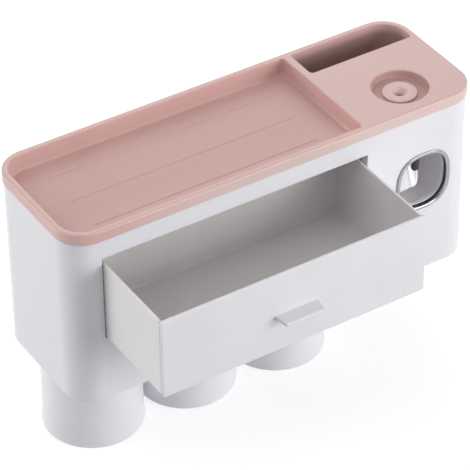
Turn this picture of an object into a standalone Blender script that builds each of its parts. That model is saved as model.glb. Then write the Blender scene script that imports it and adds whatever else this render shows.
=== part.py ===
"""A wall toothbrush holder: tray lid, drawer, toothpaste dispenser and three cups that hang upside down.

Metres. X runs along the wall to the right, Y into the wall, Z up. The origin is on the wall, at the centre
of the adhesive pad. FROM_LEFT and FROM_FRONT are distances from the lid's outer faces, and a DROP is
measured down from the lid's lower edge, where the pink lid meets the white housing.
"""

import math

import bmesh
import bpy
from mathutils import Matrix, Vector

# Clearances and cut lengths that all pieces share
FIT_GAP = 0.0003
CUT_OVERRUN = 0.001
SLIDE_GAP = 0.0006

# Lid
LID_CORNER = 0.0215
LID_EDGE = 0.0084
LID_PLATE = 0.0020
LID_TO_WALL = 0.0005
TRAY_END_GAP = 0.0025
TRAY_SINK = 0.0129
TRAY_WALL = 0.0014
TRAY_FLOOR = 0.0016
TRAY_RIGHT_CORNER = 0.0045
GROOVE_WIDTH = 0.0012
GROOVE_DEPTH = 0.0005
GROOVE_SIDE = 0.0183
GROOVE_MARGIN = 0.0257
GROOVE_END = 0.0230
GROOVES = 3
SLOT_BAND = 0.0059
SLOT_DEPTH_Y = 0.0262
SLOT_SINK = 0.055
SLOT_CORNER = 0.0025

# Toothpaste inlet, in the lid's right end
INLET_FROM_RIGHT = 0.0460
INLET_FROM_FRONT = 0.0287
INLET_RADIUS = 0.0198
INLET_SINK = 0.0056
SEAL_RADIUS = 0.0121
SEAL_PLATE = 0.0010
SEAL_CREST = 0.0006
SEAL_CREST_RADIUS = 0.0078
SEAL_FUNNEL_RADIUS = 0.0052
SEAL_FUNNEL_DEPTH = 0.0038
SEAL_BORE = 0.0030
SEAL_NECK = 0.0087
SEAL_BEAD = 0.0011
SEAL_BEAD_HEIGHT = 0.0012
SEAL_TAIL = 0.0010

# Housing
HOUSING_INSET = 0.0008
HOUSING_WALL = 0.0018
SKIRT_HEIGHT = 0.0474
DISPENSER_WIDTH = 0.0910
OPENING_FROM_LEFT = 0.0234
OPENING_WIDTH = 0.2056
OPENING_DROP = 0.0145
OPENING_CORNER = 0.0008

# Drawer
DRAWER_SIDE_SPACE = 0.0044
DRAWER_DROP = 0.0185
DRAWER_SIDE_SHORT = 0.0010
DRAWER_WALL = 0.0018
DRAWER_FLOOR = 0.0020
DRAWER_SKID = 0.0028
DRAWER_BACK_GAP = 0.0007
DRAWER_OUT = 0.0715
FRONT_SIDE_GAP = 0.0026
FRONT_HEIGHT = 0.0614
FRONT_THICK = 0.0025
PULL_ROOT = 0.0330
PULL_TIP = 0.0300
PULL_REACH = 0.0108
PULL_THICK = 0.0024
PULL_DROP = 0.0321
STOP_WIDTH = 0.030
STOP_HEIGHT = 0.0060

# Deck under the drawer, guides beside it and the divider to the dispenser's bay
DECK_BELOW_FRONT = 0.0021
DECK_THICK = 0.0022
GUIDE_WALL = 0.0020
GUIDE_LEDGE = 0.0046
GUIDE_LIP = 0.0031
GUIDE_START = 0.0080
GUIDE_LIP_GAP = 0.0004
DIVIDER_THICK = 0.0016
DIVIDER_TOP_GAP = 0.0020

# Cups
CUPS = 3
CUP_ROW_FROM_LEFT = 0.0072
CUP_ROW_END_GAP = 0.0007
CUP_BETWEEN = 0.0033
CUP_FRONT_SPACE = 0.0242
CUP_BACK_SPACE = 0.0092
CUP_HEIGHT = 0.1053
CUP_TAPER = 0.0022
CUP_WALL = 0.0018
CUP_BASE = 0.0020
CUP_BASE_ROUND = 0.0045
CUP_MAGNET_RADIUS = 0.0080
CUP_MAGNET_THICK = 0.0020
CAP_THICK = 0.0010
SEAT_RADIUS = 0.0140
SEAT_HEIGHT = 0.0089
SEAT_PEG_RADIUS = 0.0040
SEAT_MAGNET_THICK = 0.0030

# Brush rack under the deck
RACK_FROM_BOTTOM = 0.0146
RACK_THICK = 0.0025
RACK_DEPTH = 0.0121
RACK_FROM_LEFT = 0.0115
RACK_CORNER_DEPTH = 0.0036
RACK_CORNER_LENGTH = 0.0105
RACK_END_GAP = 0.0025
NOTCH_WIDTH = 0.0070
NOTCH_DEPTH = 0.0085
NOTCH_OFFSET = 0.0220
POST_SIDE = 0.0060

# Screws
SCREW_RADIUS = 0.0013
SCREW_LENGTH = 0.0080
SCREW_HEAD_RADIUS = 0.0024
SCREW_HEAD = 0.0014
BOSS_RADIUS = 0.0032
BOSS_HEIGHT = 0.0100
BOSS_SINK = 0.0005
BOSS_PAN_SINK = 0.0012
DECK_SCREW_FROM_CUP = 0.0101

# Wall plate, its pad, its hooks and the recess for them in the housing's back
PAD_WIDTH = 0.2200
PAD_HEIGHT = 0.0300
PAD_THICK = 0.0010
PLATE_THICK = 0.0020
PLATE_FROM_BOTTOM = 0.0276
PLATE_CORNER = 0.0040
RECESS_SIDE_GAP = 0.0020
RECESS_WALL = 0.0016
RECESS_FLOOR_GAP = 0.0006
HOOK_DIVIDER_GAP = 0.0063
HOOK_WIDTH = 0.0160
HOOK_ROOT = 0.0030
HOOK_RISE = 0.0050
HOOK_TIP = 0.0016
HOOK_GAP = 0.0003
HOOK_SLOT_SPARE = 0.0014

# Dispenser: window, liner, lever, pump and nozzle
WINDOW_FROM_RIGHT = 0.0444
WINDOW_DROP = 0.0544
WINDOW_WIDTH = 0.0441
WINDOW_HEIGHT = 0.0472
WINDOW_POWER = 2.6
BEZEL_BAND = 0.0028
BEZEL_OVERLAP = 0.0015
BEZEL_PROUD = 0.0009
BEZEL_SLEEVE = 0.0079
LINER_WALL = 0.0014
LINER_LENGTH = 0.0431
ROOF_CUT_START = 0.0190
ROOF_CUT_HALF = 0.0130
ROOF_CUT_END_WALL = 0.0030
PIN_FROM_FRONT = 0.0240
PIN_DROP = 0.0380
PIN_RADIUS = 0.0015
PIN_LENGTH = 0.0360
HUB_RADIUS = 0.0030
HUB_LENGTH = 0.0216
PADDLE_RADIUS = 0.0110
PADDLE_HALF_ANGLE = math.radians(52)
PADDLE_THICK = 0.0018
PADDLE_LENGTH = 0.0315
PADDLE_TILT = math.radians(24)
PADDLE_ALONG_SHARES = [0.0, 0.7, 0.86, 0.95, 1.0]
PADDLE_WIDTH_SHARES = [1.0, 1.0, 0.93, 0.78, 0.55]
YOKE_ARM = 0.0025
YOKE_DEPTH = 0.0040
YOKE_BAR_HEIGHT = 0.0045
YOKE_BAR_THICK = 0.0025
SPRING_RADIUS = 0.0026
SPRING_WALL = 0.0008
SPRING_LENGTH = 0.0022
THROAT_RADIUS = 0.0060
THROAT_BORE = 0.0036
THROAT_FLANGE_RADIUS = 0.0105
THROAT_FLANGE = 0.0020
THROAT_LENGTH = 0.0117
BULB_RADIUS = 0.0065
BULB_NECK = 0.0046
BULB_WALL = 0.0010
BULB_HEIGHT = 0.0110
BULB_SHOULDER_SHARE = 0.25
HEAD_HALF = 0.0070
HEAD_FROM_FRONT = 0.0050
HEAD_LENGTH = 0.0300
HEAD_HEIGHT = 0.0050
CHANNEL_RADIUS = 0.0015
NOZZLE_FROM_FRONT = 0.0106
NOZZLE_RADIUS = 0.0028
NOZZLE_BORE = 0.0012
NOZZLE_LENGTH = 0.0225
NOZZLE_COLLAR_RADIUS = 0.0040
NOZZLE_COLLAR = 0.0012
FRAME_HALF = 0.0120
FRAME_THICK = 0.0020
FRAME_SHELF_FROM_FRONT = 0.0170
FRAME_BOTTOM_DROP = 0.0640
FRAME_SCREW_SPREAD = 0.0070
FRAME_SCREW_LENGTH = 0.0036
COVER_THICK = 0.0020

# Facets and shading of round shapes
CORNER_STEPS = 10
CUP_STEPS = 40
ROUND_STEPS = 24
SMALL_STEPS = 14
WINDOW_STEPS = 40
NOZZLE_TIP_STEPS = 4
DIAGONAL = math.sqrt(0.5)
SHADE_ANGLE = math.radians(35)
SEAL_SHADE_ANGLE = math.radians(50)

# Sizes worked out from the ones above: the cups fill the room left of the dispenser, and the drawer's
# opening and the cups set how wide, deep and high the whole box is
LID_WIDTH = OPENING_FROM_LEFT + OPENING_WIDTH + DISPENSER_WIDTH
DIVIDER_FROM_LEFT = OPENING_FROM_LEFT + OPENING_WIDTH + FIT_GAP
CUP_ROW = DIVIDER_FROM_LEFT - CUP_ROW_END_GAP - CUP_ROW_FROM_LEFT
CUP_MOUTH_RADIUS = (CUP_ROW - (CUPS - 1) * CUP_BETWEEN) / CUPS / 2
CUP_BASE_RADIUS = CUP_MOUTH_RADIUS - CUP_TAPER
CUP_PITCH = 2 * CUP_MOUTH_RADIUS + CUP_BETWEEN
LID_DEPTH = CUP_FRONT_SPACE + 2 * CUP_MOUTH_RADIUS + CUP_BACK_SPACE
HOUSING_HEIGHT = DRAWER_DROP + FRONT_HEIGHT + DECK_BELOW_FRONT + DECK_THICK + SKIRT_HEIGHT
DRAWER_WIDTH = OPENING_WIDTH - SLIDE_GAP - DRAWER_SIDE_SPACE
DRAWER_SIDE = FRONT_HEIGHT - DRAWER_SIDE_SHORT
FRONT_WIDTH = OPENING_WIDTH - SLIDE_GAP - FRONT_SIDE_GAP

# Places worked out from the sizes above
LEFT = -LID_WIDTH / 2
FRONT = -(LID_DEPTH + LID_TO_WALL)
LID_LOW = HOUSING_HEIGHT - PLATE_FROM_BOTTOM
LID_TOP = LID_LOW + LID_EDGE
RIM = HOUSING_INSET + HOUSING_WALL + FIT_GAP + TRAY_WALL
TRAY_LENGTH = OPENING_FROM_LEFT + OPENING_WIDTH - TRAY_END_GAP - RIM
GROOVE_LENGTH = TRAY_LENGTH - GROOVE_MARGIN - GROOVE_END
GROOVE_PITCH = (LID_DEPTH - 2 * RIM - 2 * GROOVE_SIDE) / (GROOVES - 1)
BACK = FRONT + LID_DEPTH
RIGHT = LEFT + LID_WIDTH
HOUSING_TOP = LID_LOW - FIT_GAP
HOUSING_BOTTOM = LID_LOW - HOUSING_HEIGHT
INNER = HOUSING_INSET + HOUSING_WALL
INNER_FIT = INNER + FIT_GAP
FACE_Y = FRONT + HOUSING_INSET
DRAWER_LEFT = LEFT + OPENING_FROM_LEFT + SLIDE_GAP
DRAWER_RIGHT = DRAWER_LEFT + DRAWER_WIDTH
DRAWER_TOP = LID_LOW - DRAWER_DROP
DRAWER_BOTTOM = DRAWER_TOP - DRAWER_SIDE
FRONT_BOTTOM = DRAWER_TOP - FRONT_HEIGHT
DRAWER_FACE_Y = FACE_Y - DRAWER_OUT
DECK_TOP = FRONT_BOTTOM - DECK_BELOW_FRONT
DECK_LOW = DECK_TOP - DECK_THICK
DIVIDER_X = LEFT + DIVIDER_FROM_LEFT
BAY_LEFT = DIVIDER_X + DIVIDER_THICK
CUP_Y = FRONT + CUP_FRONT_SPACE + CUP_MOUTH_RADIUS
FIRST_CUP_X = LEFT + CUP_ROW_FROM_LEFT + CUP_MOUTH_RADIUS
CUP_XS = [FIRST_CUP_X + CUP_PITCH * index for index in range(CUPS)]
SEAT_LOW = DECK_LOW - FIT_GAP - SEAT_HEIGHT
CUP_TOP = SEAT_LOW - FIT_GAP
RACK_TOP = HOUSING_BOTTOM + RACK_FROM_BOTTOM
INLET_X = RIGHT - INLET_FROM_RIGHT
INLET_Y = FRONT + INLET_FROM_FRONT
INLET_FLOOR = LID_TOP - INLET_SINK
WINDOW_X = RIGHT - WINDOW_FROM_RIGHT
WINDOW_Z = LID_LOW - WINDOW_DROP
HOOK_SPACING = 2 * (DIVIDER_X - HOOK_DIVIDER_GAP) - HOOK_WIDTH
HOLE_IN_FACE = BEZEL_OVERLAP - FIT_GAP
LINER_FRONT = FRONT + INNER_FIT
LINER_BACK = LINER_FRONT + LINER_LENGTH
LINER_ROOF = WINDOW_Z + WINDOW_HEIGHT / 2 - HOLE_IN_FACE + LINER_WALL
PIN_Y = FRONT + PIN_FROM_FRONT
PIN_Z = LID_LOW - PIN_DROP
HEAD_LOW = LINER_ROOF + FIT_GAP
HEAD_TOP = HEAD_LOW + HEAD_HEIGHT
BULB_LOW = HEAD_TOP + FIT_GAP
THROAT_LOW = BULB_LOW + BULB_HEIGHT + FIT_GAP
THROAT_TOP = THROAT_LOW + THROAT_LENGTH
NOZZLE_Y = FRONT + NOZZLE_FROM_FRONT
PLATE_FRONT_Y = -(PAD_THICK + FIT_GAP + PLATE_THICK)
PAN_BACK = PLATE_FRONT_Y - RECESS_FLOOR_GAP
PAN_FRONT = PAN_BACK - RECESS_WALL


def clear_scene():
    for old in list(bpy.data.objects):
        bpy.data.objects.remove(old, do_unlink=True)


def material(name, colour, roughness, metallic=0.0):
    """A Principled material from a linear colour."""
    made = bpy.data.materials.new(name)
    made.use_nodes = True
    shader = made.node_tree.nodes["Principled BSDF"]
    shader.inputs["Base Color"].default_value = (*colour, 1.0)
    shader.inputs["Roughness"].default_value = roughness
    shader.inputs["Metallic"].default_value = metallic
    made.diffuse_color = (*colour, 1.0)
    return made


def group(name, place, parent=None):
    """An empty on a joint's axis, which carries the pieces of one moving body."""
    empty = bpy.data.objects.new(name, None)
    bpy.context.scene.collection.objects.link(empty)
    home = parent["place"] if parent else Vector((0, 0, 0))
    empty.parent = parent["empty"] if parent else None
    empty.location = Vector(place) - home
    return {"empty": empty, "place": Vector(place)}


def piece(name, shape, finish, body):
    """One object from a closed bmesh in world places, carried by a body's empty."""
    bmesh.ops.recalc_face_normals(shape, faces=shape.faces)
    bmesh.ops.translate(shape, verts=shape.verts, vec=-body["place"])
    mesh = bpy.data.meshes.new(name)
    shape.to_mesh(mesh)
    shape.free()
    mesh.materials.append(finish)
    made = bpy.data.objects.new(name, mesh)
    bpy.context.scene.collection.objects.link(made)
    made.parent = body["empty"]
    return made


def boolean(target, shape, operation, body):
    """Adds a live Boolean with a hidden tool made from a bmesh in world places."""
    tool = piece(f"{target.name}_tool_{len(target.modifiers)}", shape, target.data.materials[0], body)
    tool.hide_render = True
    tool.display_type = "WIRE"
    step = target.modifiers.new(operation.title(), "BOOLEAN")
    step.operation = operation
    step.solver = "EXACT"
    step.object = tool


def cut(target, shape, body):
    boolean(target, shape, "DIFFERENCE", body)


def join(target, shape, body):
    boolean(target, shape, "UNION", body)


def smooth(target, angle=SHADE_ANGLE):
    target.data.shade_smooth()
    target.data.set_sharp_from_angle(angle=angle)
    return target


def lofted(rings):
    """A closed bmesh through rings with equally many points, its two ends filled."""
    shape = bmesh.new()
    rows = [[shape.verts.new(point) for point in ring] for ring in rings]
    count = len(rows[0])
    for low, high in zip(rows, rows[1:]):
        for index in range(count):
            following = (index + 1) % count
            shape.faces.new((low[index], low[following], high[following], high[index]))
    shape.faces.new(list(reversed(rows[0])))
    shape.faces.new(rows[-1])
    return shape


def upright(outline, low, high):
    """A prism of an (x, y) outline between two heights."""
    return lofted([[(x, y, z) for x, y in outline] for z in (low, high)])


def forward(outline, front, back):
    """A prism of an (x, z) outline between two depths."""
    return lofted([[(x, y, z) for x, z in outline] for y in (front, back)])


def sideways(outline, left, right):
    """A prism of a (y, z) outline between two places along X."""
    return lofted([[(x, y, z) for y, z in outline] for x in (left, right)])


def rectangle(low_u, high_u, low_v, high_v):
    return [(low_u, low_v), (high_u, low_v), (high_u, high_v), (low_u, high_v)]


def block(low, high):
    """An axis-aligned box between two corners."""
    return upright(rectangle(low[0], high[0], low[1], high[1]), low[2], high[2])


def rounded(low_u, high_u, low_v, high_v, radii):
    """A rectangle with a radius for each corner: low-low, high-low, high-high, low-high.

    A small corner gets fewer points than the lid's own, by the square root of its radius.
    """
    signs = [(1, 1), (-1, 1), (-1, -1), (1, -1)]
    corners = rectangle(low_u, high_u, low_v, high_v)
    points = []
    for turn, ((u, v), (side_u, side_v), radius) in enumerate(zip(corners, signs, radii)):
        centre_u, centre_v = u + side_u * radius, v + side_v * radius
        steps = max(1, round(CORNER_STEPS * math.sqrt(radius / LID_CORNER)))
        for step in range(steps + 1):
            angle = math.pi + (turn + step / steps) * math.pi / 2
            points.append((centre_u + radius * math.cos(angle), centre_v + radius * math.sin(angle)))
    return points


def circle(u, v, radius, steps=ROUND_STEPS):
    angles = [2 * math.pi * step / steps for step in range(steps)]
    return [(u + radius * math.cos(angle), v + radius * math.sin(angle)) for angle in angles]


def squircle(inset):
    """The window's outline, a superellipse, drawn in by an inset."""
    half_w, half_h = WINDOW_WIDTH / 2 - inset, WINDOW_HEIGHT / 2 - inset
    points = []
    for step in range(WINDOW_STEPS):
        angle = 2 * math.pi * step / WINDOW_STEPS
        across, up = math.cos(angle), math.sin(angle)
        x = WINDOW_X + half_w * math.copysign(abs(across) ** (2 / WINDOW_POWER), across)
        z = WINDOW_Z + half_h * math.copysign(abs(up) ** (2 / WINDOW_POWER), up)
        points.append((x, z))
    return points


def housing_outline(inset):
    """The housing's plan, drawn in from the lid's outline by an inset."""
    low_x, high_x, low_y, high_y = LEFT + inset, RIGHT - inset, FRONT + inset, BACK - inset
    return rounded(low_x, high_x, low_y, high_y, [LID_CORNER - inset] * 4)


def turned(profile, x, y, steps):
    """A solid turned about the upright line through x, y, from a closed loop of (radius, height) points."""
    shape = bmesh.new()
    rows = []
    for radius, z in profile:
        if radius == 0:
            rows.append([shape.verts.new((x, y, z))])
            continue
        rows.append([shape.verts.new((u, v, z)) for u, v in circle(x, y, radius, steps)])
    for low, high in zip(rows, rows[1:] + rows[:1]):
        for index in range(steps):
            following = (index + 1) % steps
            corners = [low[index % len(low)], low[following % len(low)]]
            corners += [high[following % len(high)], high[index % len(high)]]
            corners = list(dict.fromkeys(corners))
            if len(corners) > 2:
                shape.faces.new(corners)
    return shape


def laid_on_pivot(shape):
    """Lays a shape that stands on the origin along X, and moves it to the lever's pivot."""
    bmesh.ops.rotate(shape, verts=shape.verts, matrix=Matrix.Rotation(math.pi / 2, 3, "Y"))
    bmesh.ops.translate(shape, verts=shape.verts, vec=(WINDOW_X, PIN_Y, PIN_Z))
    return shape


def screw(name, x, y, seat, body, finish, direction=-1):
    """A pan-head screw whose head sits on a face at a height and whose shank goes along the direction."""
    head = seat - direction * FIT_GAP
    top = head - direction * SCREW_HEAD
    tip = seat + direction * SCREW_LENGTH
    profile = [
        (0, tip),
        (SCREW_RADIUS, tip),
        (SCREW_RADIUS, head),
        (SCREW_HEAD_RADIUS, head),
        (SCREW_HEAD_RADIUS, (head + top) / 2),
        (SCREW_HEAD_RADIUS - SCREW_HEAD / 2, top),
        (0, top),
    ]
    return smooth(piece(name, turned(profile, x, y, SMALL_STEPS), finish, body))


def screw_hole(x, y, middle):
    """A cutter for a screw's shank, long enough for the piece and the boss at that height."""
    hole = circle(x, y, SCREW_RADIUS + FIT_GAP, SMALL_STEPS)
    return upright(hole, middle - SCREW_LENGTH - CUT_OVERRUN, middle + SCREW_LENGTH)


def deck_screw_places():
    """Two in the housing's left corners, two by the front and back walls near the last cup."""
    reach = (LID_CORNER - INNER - BOSS_RADIUS + BOSS_SINK) / math.sqrt(2)
    left = LEFT + LID_CORNER - reach
    right = CUP_XS[-1] + DECK_SCREW_FROM_CUP
    return [
        (left, FRONT + LID_CORNER - reach),
        (left, BACK - LID_CORNER + reach),
        (right, FRONT + INNER + BOSS_RADIUS - BOSS_SINK),
        (right, PAN_FRONT - BOSS_RADIUS + BOSS_PAN_SINK),
    ]


def cover_screw_places():
    reach = (LID_CORNER - INNER - BOSS_RADIUS + BOSS_SINK) / math.sqrt(2)
    right = RIGHT - LID_CORNER + reach
    return [(right, FRONT + LID_CORNER - reach), (right, BACK - LID_CORNER + reach)]


def make_wall_plate(body, finishes):
    """The adhesive pad on the wall and the plate with two hooks that the housing hangs on."""
    half_w, half_h = PAD_WIDTH / 2, PAD_HEIGHT / 2
    outline = rounded(-half_w, half_w, -half_h, half_h, [PLATE_CORNER] * 4)
    piece("adhesive_pad", forward(outline, -PAD_THICK, 0), finishes["foam"], body)
    plate_back = -PAD_THICK - FIT_GAP
    plate = piece("wall_plate", forward(outline, PLATE_FRONT_Y, plate_back), finishes["clear"], body)
    for side in (-1, 1):
        x = side * HOOK_SPACING / 2
        tip_back = PAN_FRONT - HOOK_GAP
        tip_front = tip_back - HOOK_TIP
        inside = PLATE_FRONT_Y + PLATE_THICK / 2
        profile = [
            (inside, -HOOK_ROOT),
            (tip_front, -HOOK_ROOT),
            (tip_front, HOOK_RISE),
            (tip_back, HOOK_RISE),
            (tip_back, 0),
            (inside, 0),
        ]
        join(plate, sideways(profile, x - HOOK_WIDTH / 2, x + HOOK_WIDTH / 2), body)


def make_housing(body, finishes):
    """The white shell, open at top and bottom, with the drawer's opening, the window and the back recess."""
    outer = upright(housing_outline(HOUSING_INSET), HOUSING_BOTTOM, HOUSING_TOP)
    shell = piece("housing_shell", outer, finishes["white"], body)
    inside = upright(housing_outline(INNER), HOUSING_BOTTOM - CUT_OVERRUN, HOUSING_TOP + CUT_OVERRUN)
    cut(shell, inside, body)

    half_w = PAD_WIDTH / 2 + RECESS_SIDE_GAP
    high = PAD_HEIGHT / 2 + FIT_GAP * 2
    low = -PAD_HEIGHT / 2 - HOOK_RISE - HOOK_SLOT_SPARE - RECESS_SIDE_GAP
    pan_half, pan_low, pan_high = half_w + RECESS_WALL, low - RECESS_WALL, high + RECESS_WALL
    wall_back = BACK - HOUSING_INSET
    pan_corner = (pan_half, wall_back - HOUSING_WALL / 2, pan_high)
    join(shell, block((-pan_half, PAN_FRONT, pan_low), pan_corner), body)

    for x, y in deck_screw_places():
        boss = circle(x, y, BOSS_RADIUS, ROUND_STEPS)
        join(shell, upright(boss, DECK_LOW - FIT_GAP - BOSS_HEIGHT, DECK_LOW - FIT_GAP), body)
    cover_top = HOUSING_BOTTOM + COVER_THICK
    for x, y in cover_screw_places():
        boss = circle(x, y, BOSS_RADIUS, ROUND_STEPS)
        join(shell, upright(boss, cover_top + FIT_GAP, cover_top + FIT_GAP + BOSS_HEIGHT), body)

    recess = block((-half_w, PAN_BACK, low), (half_w, wall_back + CUT_OVERRUN, high))
    cut(shell, recess, body)
    slot_high = HOOK_GAP
    slot_low = slot_high - HOOK_ROOT - HOOK_RISE - HOOK_SLOT_SPARE
    for side in (-1, 1):
        x = side * HOOK_SPACING / 2
        slot_half = HOOK_WIDTH / 2 + HOOK_SLOT_SPARE
        low_corner = (x - slot_half, PAN_FRONT - CUT_OVERRUN, slot_low)
        cut(shell, block(low_corner, (x + slot_half, PAN_BACK + CUT_OVERRUN, slot_high)), body)

    opening_left = LEFT + OPENING_FROM_LEFT
    opening_low = FRONT_BOTTOM - SLIDE_GAP
    opening = rounded(
        opening_left,
        opening_left + OPENING_WIDTH,
        opening_low,
        LID_LOW - OPENING_DROP,
        [OPENING_CORNER] * 4,
    )
    cut(shell, forward(opening, FRONT - CUT_OVERRUN, FRONT + INNER + CUT_OVERRUN), body)
    window = squircle(HOLE_IN_FACE)
    cut(shell, forward(window, FRONT - CUT_OVERRUN, FRONT + INNER + CUT_OVERRUN), body)
    for x, y in deck_screw_places():
        cut(shell, screw_hole(x, y, DECK_LOW), body)
    for x, y in cover_screw_places():
        cut(shell, screw_hole(x, y, cover_top), body)
    smooth(shell)


def make_deck(body, finishes):
    """The deck under the drawer, its screws, the divider and the drawer's two guides."""
    right = DIVIDER_X - FIT_GAP
    corner = LID_CORNER - INNER_FIT
    outline = rounded(
        LEFT + INNER_FIT,
        right,
        FRONT + INNER_FIT,
        BACK - INNER_FIT,
        [corner, FIT_GAP, FIT_GAP, corner],
    )
    deck = piece("drawer_deck", upright(outline, DECK_LOW, DECK_TOP), finishes["white"], body)
    for index, (x, y) in enumerate(deck_screw_places(), 1):
        cut(deck, screw_hole(x, y, DECK_TOP), body)
        screw(f"deck_screw_{index}", x, y, DECK_TOP, body, finishes["steel"])
    for index, (x, y) in enumerate(rack_post_places(), 1):
        cut(deck, screw_hole(x, y, DECK_TOP), body)
        screw(f"rack_screw_{index}", x, y, DECK_TOP, body, finishes["steel"])
    for x in CUP_XS:
        peg = circle(x, CUP_Y, SEAT_PEG_RADIUS + FIT_GAP, ROUND_STEPS)
        cut(deck, upright(peg, DECK_LOW - CUT_OVERRUN, DECK_TOP + CUT_OVERRUN), body)

    low_corner = (DIVIDER_X, FRONT + INNER_FIT, HOUSING_BOTTOM + FIT_GAP)
    high_corner = (DIVIDER_X + DIVIDER_THICK, PAN_FRONT - FIT_GAP, LID_LOW - DIVIDER_TOP_GAP)
    piece("bay_divider", block(low_corner, high_corner), finishes["white"], body)

    guide_back = BACK - INNER - SLIDE_GAP
    guide_low = DECK_TOP + FIT_GAP
    ledge_top = DRAWER_BOTTOM - FIT_GAP
    lip_low = DRAWER_TOP + GUIDE_LIP_GAP
    lip_top = lip_low + GUIDE_WALL
    for name, face, inward in (
        ("drawer_guide_left", DRAWER_LEFT - SLIDE_GAP, 1),
        ("drawer_guide_right", DRAWER_RIGHT + SLIDE_GAP, -1),
    ):
        outside = face - inward * GUIDE_WALL
        ledge = face + inward * GUIDE_LEDGE
        lip = face + inward * GUIDE_LIP
        profile = [
            (outside, guide_low),
            (ledge, guide_low),
            (ledge, ledge_top),
            (face, ledge_top),
            (face, lip_low),
            (lip, lip_low),
            (lip, lip_top),
            (outside, lip_top),
        ]
        piece(name, forward(profile, FRONT + GUIDE_START, guide_back), finishes["white"], body)


def make_seats(body, finishes):
    """The three seats that each cup's base pulls up against, with their magnets."""
    top = DECK_LOW - FIT_GAP
    peg_top = DECK_TOP - FIT_GAP
    pocket = SEAT_MAGNET_THICK + FIT_GAP
    magnet_radius = CUP_MAGNET_RADIUS
    for index, x in enumerate(CUP_XS, 1):
        profile = [
            (0, peg_top),
            (SEAT_PEG_RADIUS, peg_top),
            (SEAT_PEG_RADIUS, top),
            (SEAT_RADIUS, top),
            (SEAT_RADIUS, SEAT_LOW),
            (magnet_radius + FIT_GAP, SEAT_LOW),
            (magnet_radius + FIT_GAP, SEAT_LOW + pocket),
            (0, SEAT_LOW + pocket),
        ]
        seat = turned(profile, x, CUP_Y, ROUND_STEPS)
        smooth(piece(f"cup_seat_{index}", seat, finishes["white"], body))
        magnet = upright(circle(x, CUP_Y, magnet_radius), SEAT_LOW, SEAT_LOW + SEAT_MAGNET_THICK)
        smooth(piece(f"seat_magnet_{index}", magnet, finishes["magnet"], body))


def rack_post_places():
    """The rack's posts stand at the cups, where the room before the cups is narrowest."""
    y = FRONT + INNER_FIT + POST_SIDE / 2
    return [(x, y) for x in CUP_XS]


def make_rack(body, finishes):
    """The comb whose notches hold the toothbrushes by their necks, heads up inside the housing."""
    front = FRONT + INNER_FIT
    rear = front + RACK_DEPTH
    left = LEFT + RACK_FROM_LEFT
    right = DIVIDER_X - RACK_END_GAP
    outline = [
        (left, rear),
        (left, front + RACK_CORNER_DEPTH),
        (left + RACK_CORNER_LENGTH, front),
        (right, front),
        (right, rear),
    ]
    rack = piece("brush_rack", upright(outline, RACK_TOP - RACK_THICK, RACK_TOP), finishes["white"], body)
    half_post = POST_SIDE / 2
    for x, y in rack_post_places():
        low_corner = (x - half_post, y - half_post, RACK_TOP - RACK_THICK / 2)
        join(rack, block(low_corner, (x + half_post, y + half_post, DECK_LOW - FIT_GAP)), body)
    radius = NOTCH_WIDTH / 2
    for cup_x in CUP_XS:
        for side in (-1, 1):
            x = cup_x + side * NOTCH_OFFSET
            end_y = rear - NOTCH_DEPTH + radius
            notch = [(x + radius, rear + CUT_OVERRUN), (x - radius, rear + CUT_OVERRUN)]
            for step in range(SMALL_STEPS // 2 + 1):
                angle = math.pi + math.pi * step / (SMALL_STEPS // 2)
                notch.append((x + radius * math.cos(angle), end_y + radius * math.sin(angle)))
            low = RACK_TOP - RACK_THICK - CUT_OVERRUN
            cut(rack, upright(notch, low, RACK_TOP + CUT_OVERRUN), body)
    for x, y in rack_post_places():
        hole = circle(x, y, SCREW_RADIUS + FIT_GAP, SMALL_STEPS)
        cut(rack, upright(hole, DECK_TOP - SCREW_LENGTH - CUT_OVERRUN, DECK_TOP), body)
    smooth(rack)


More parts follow.
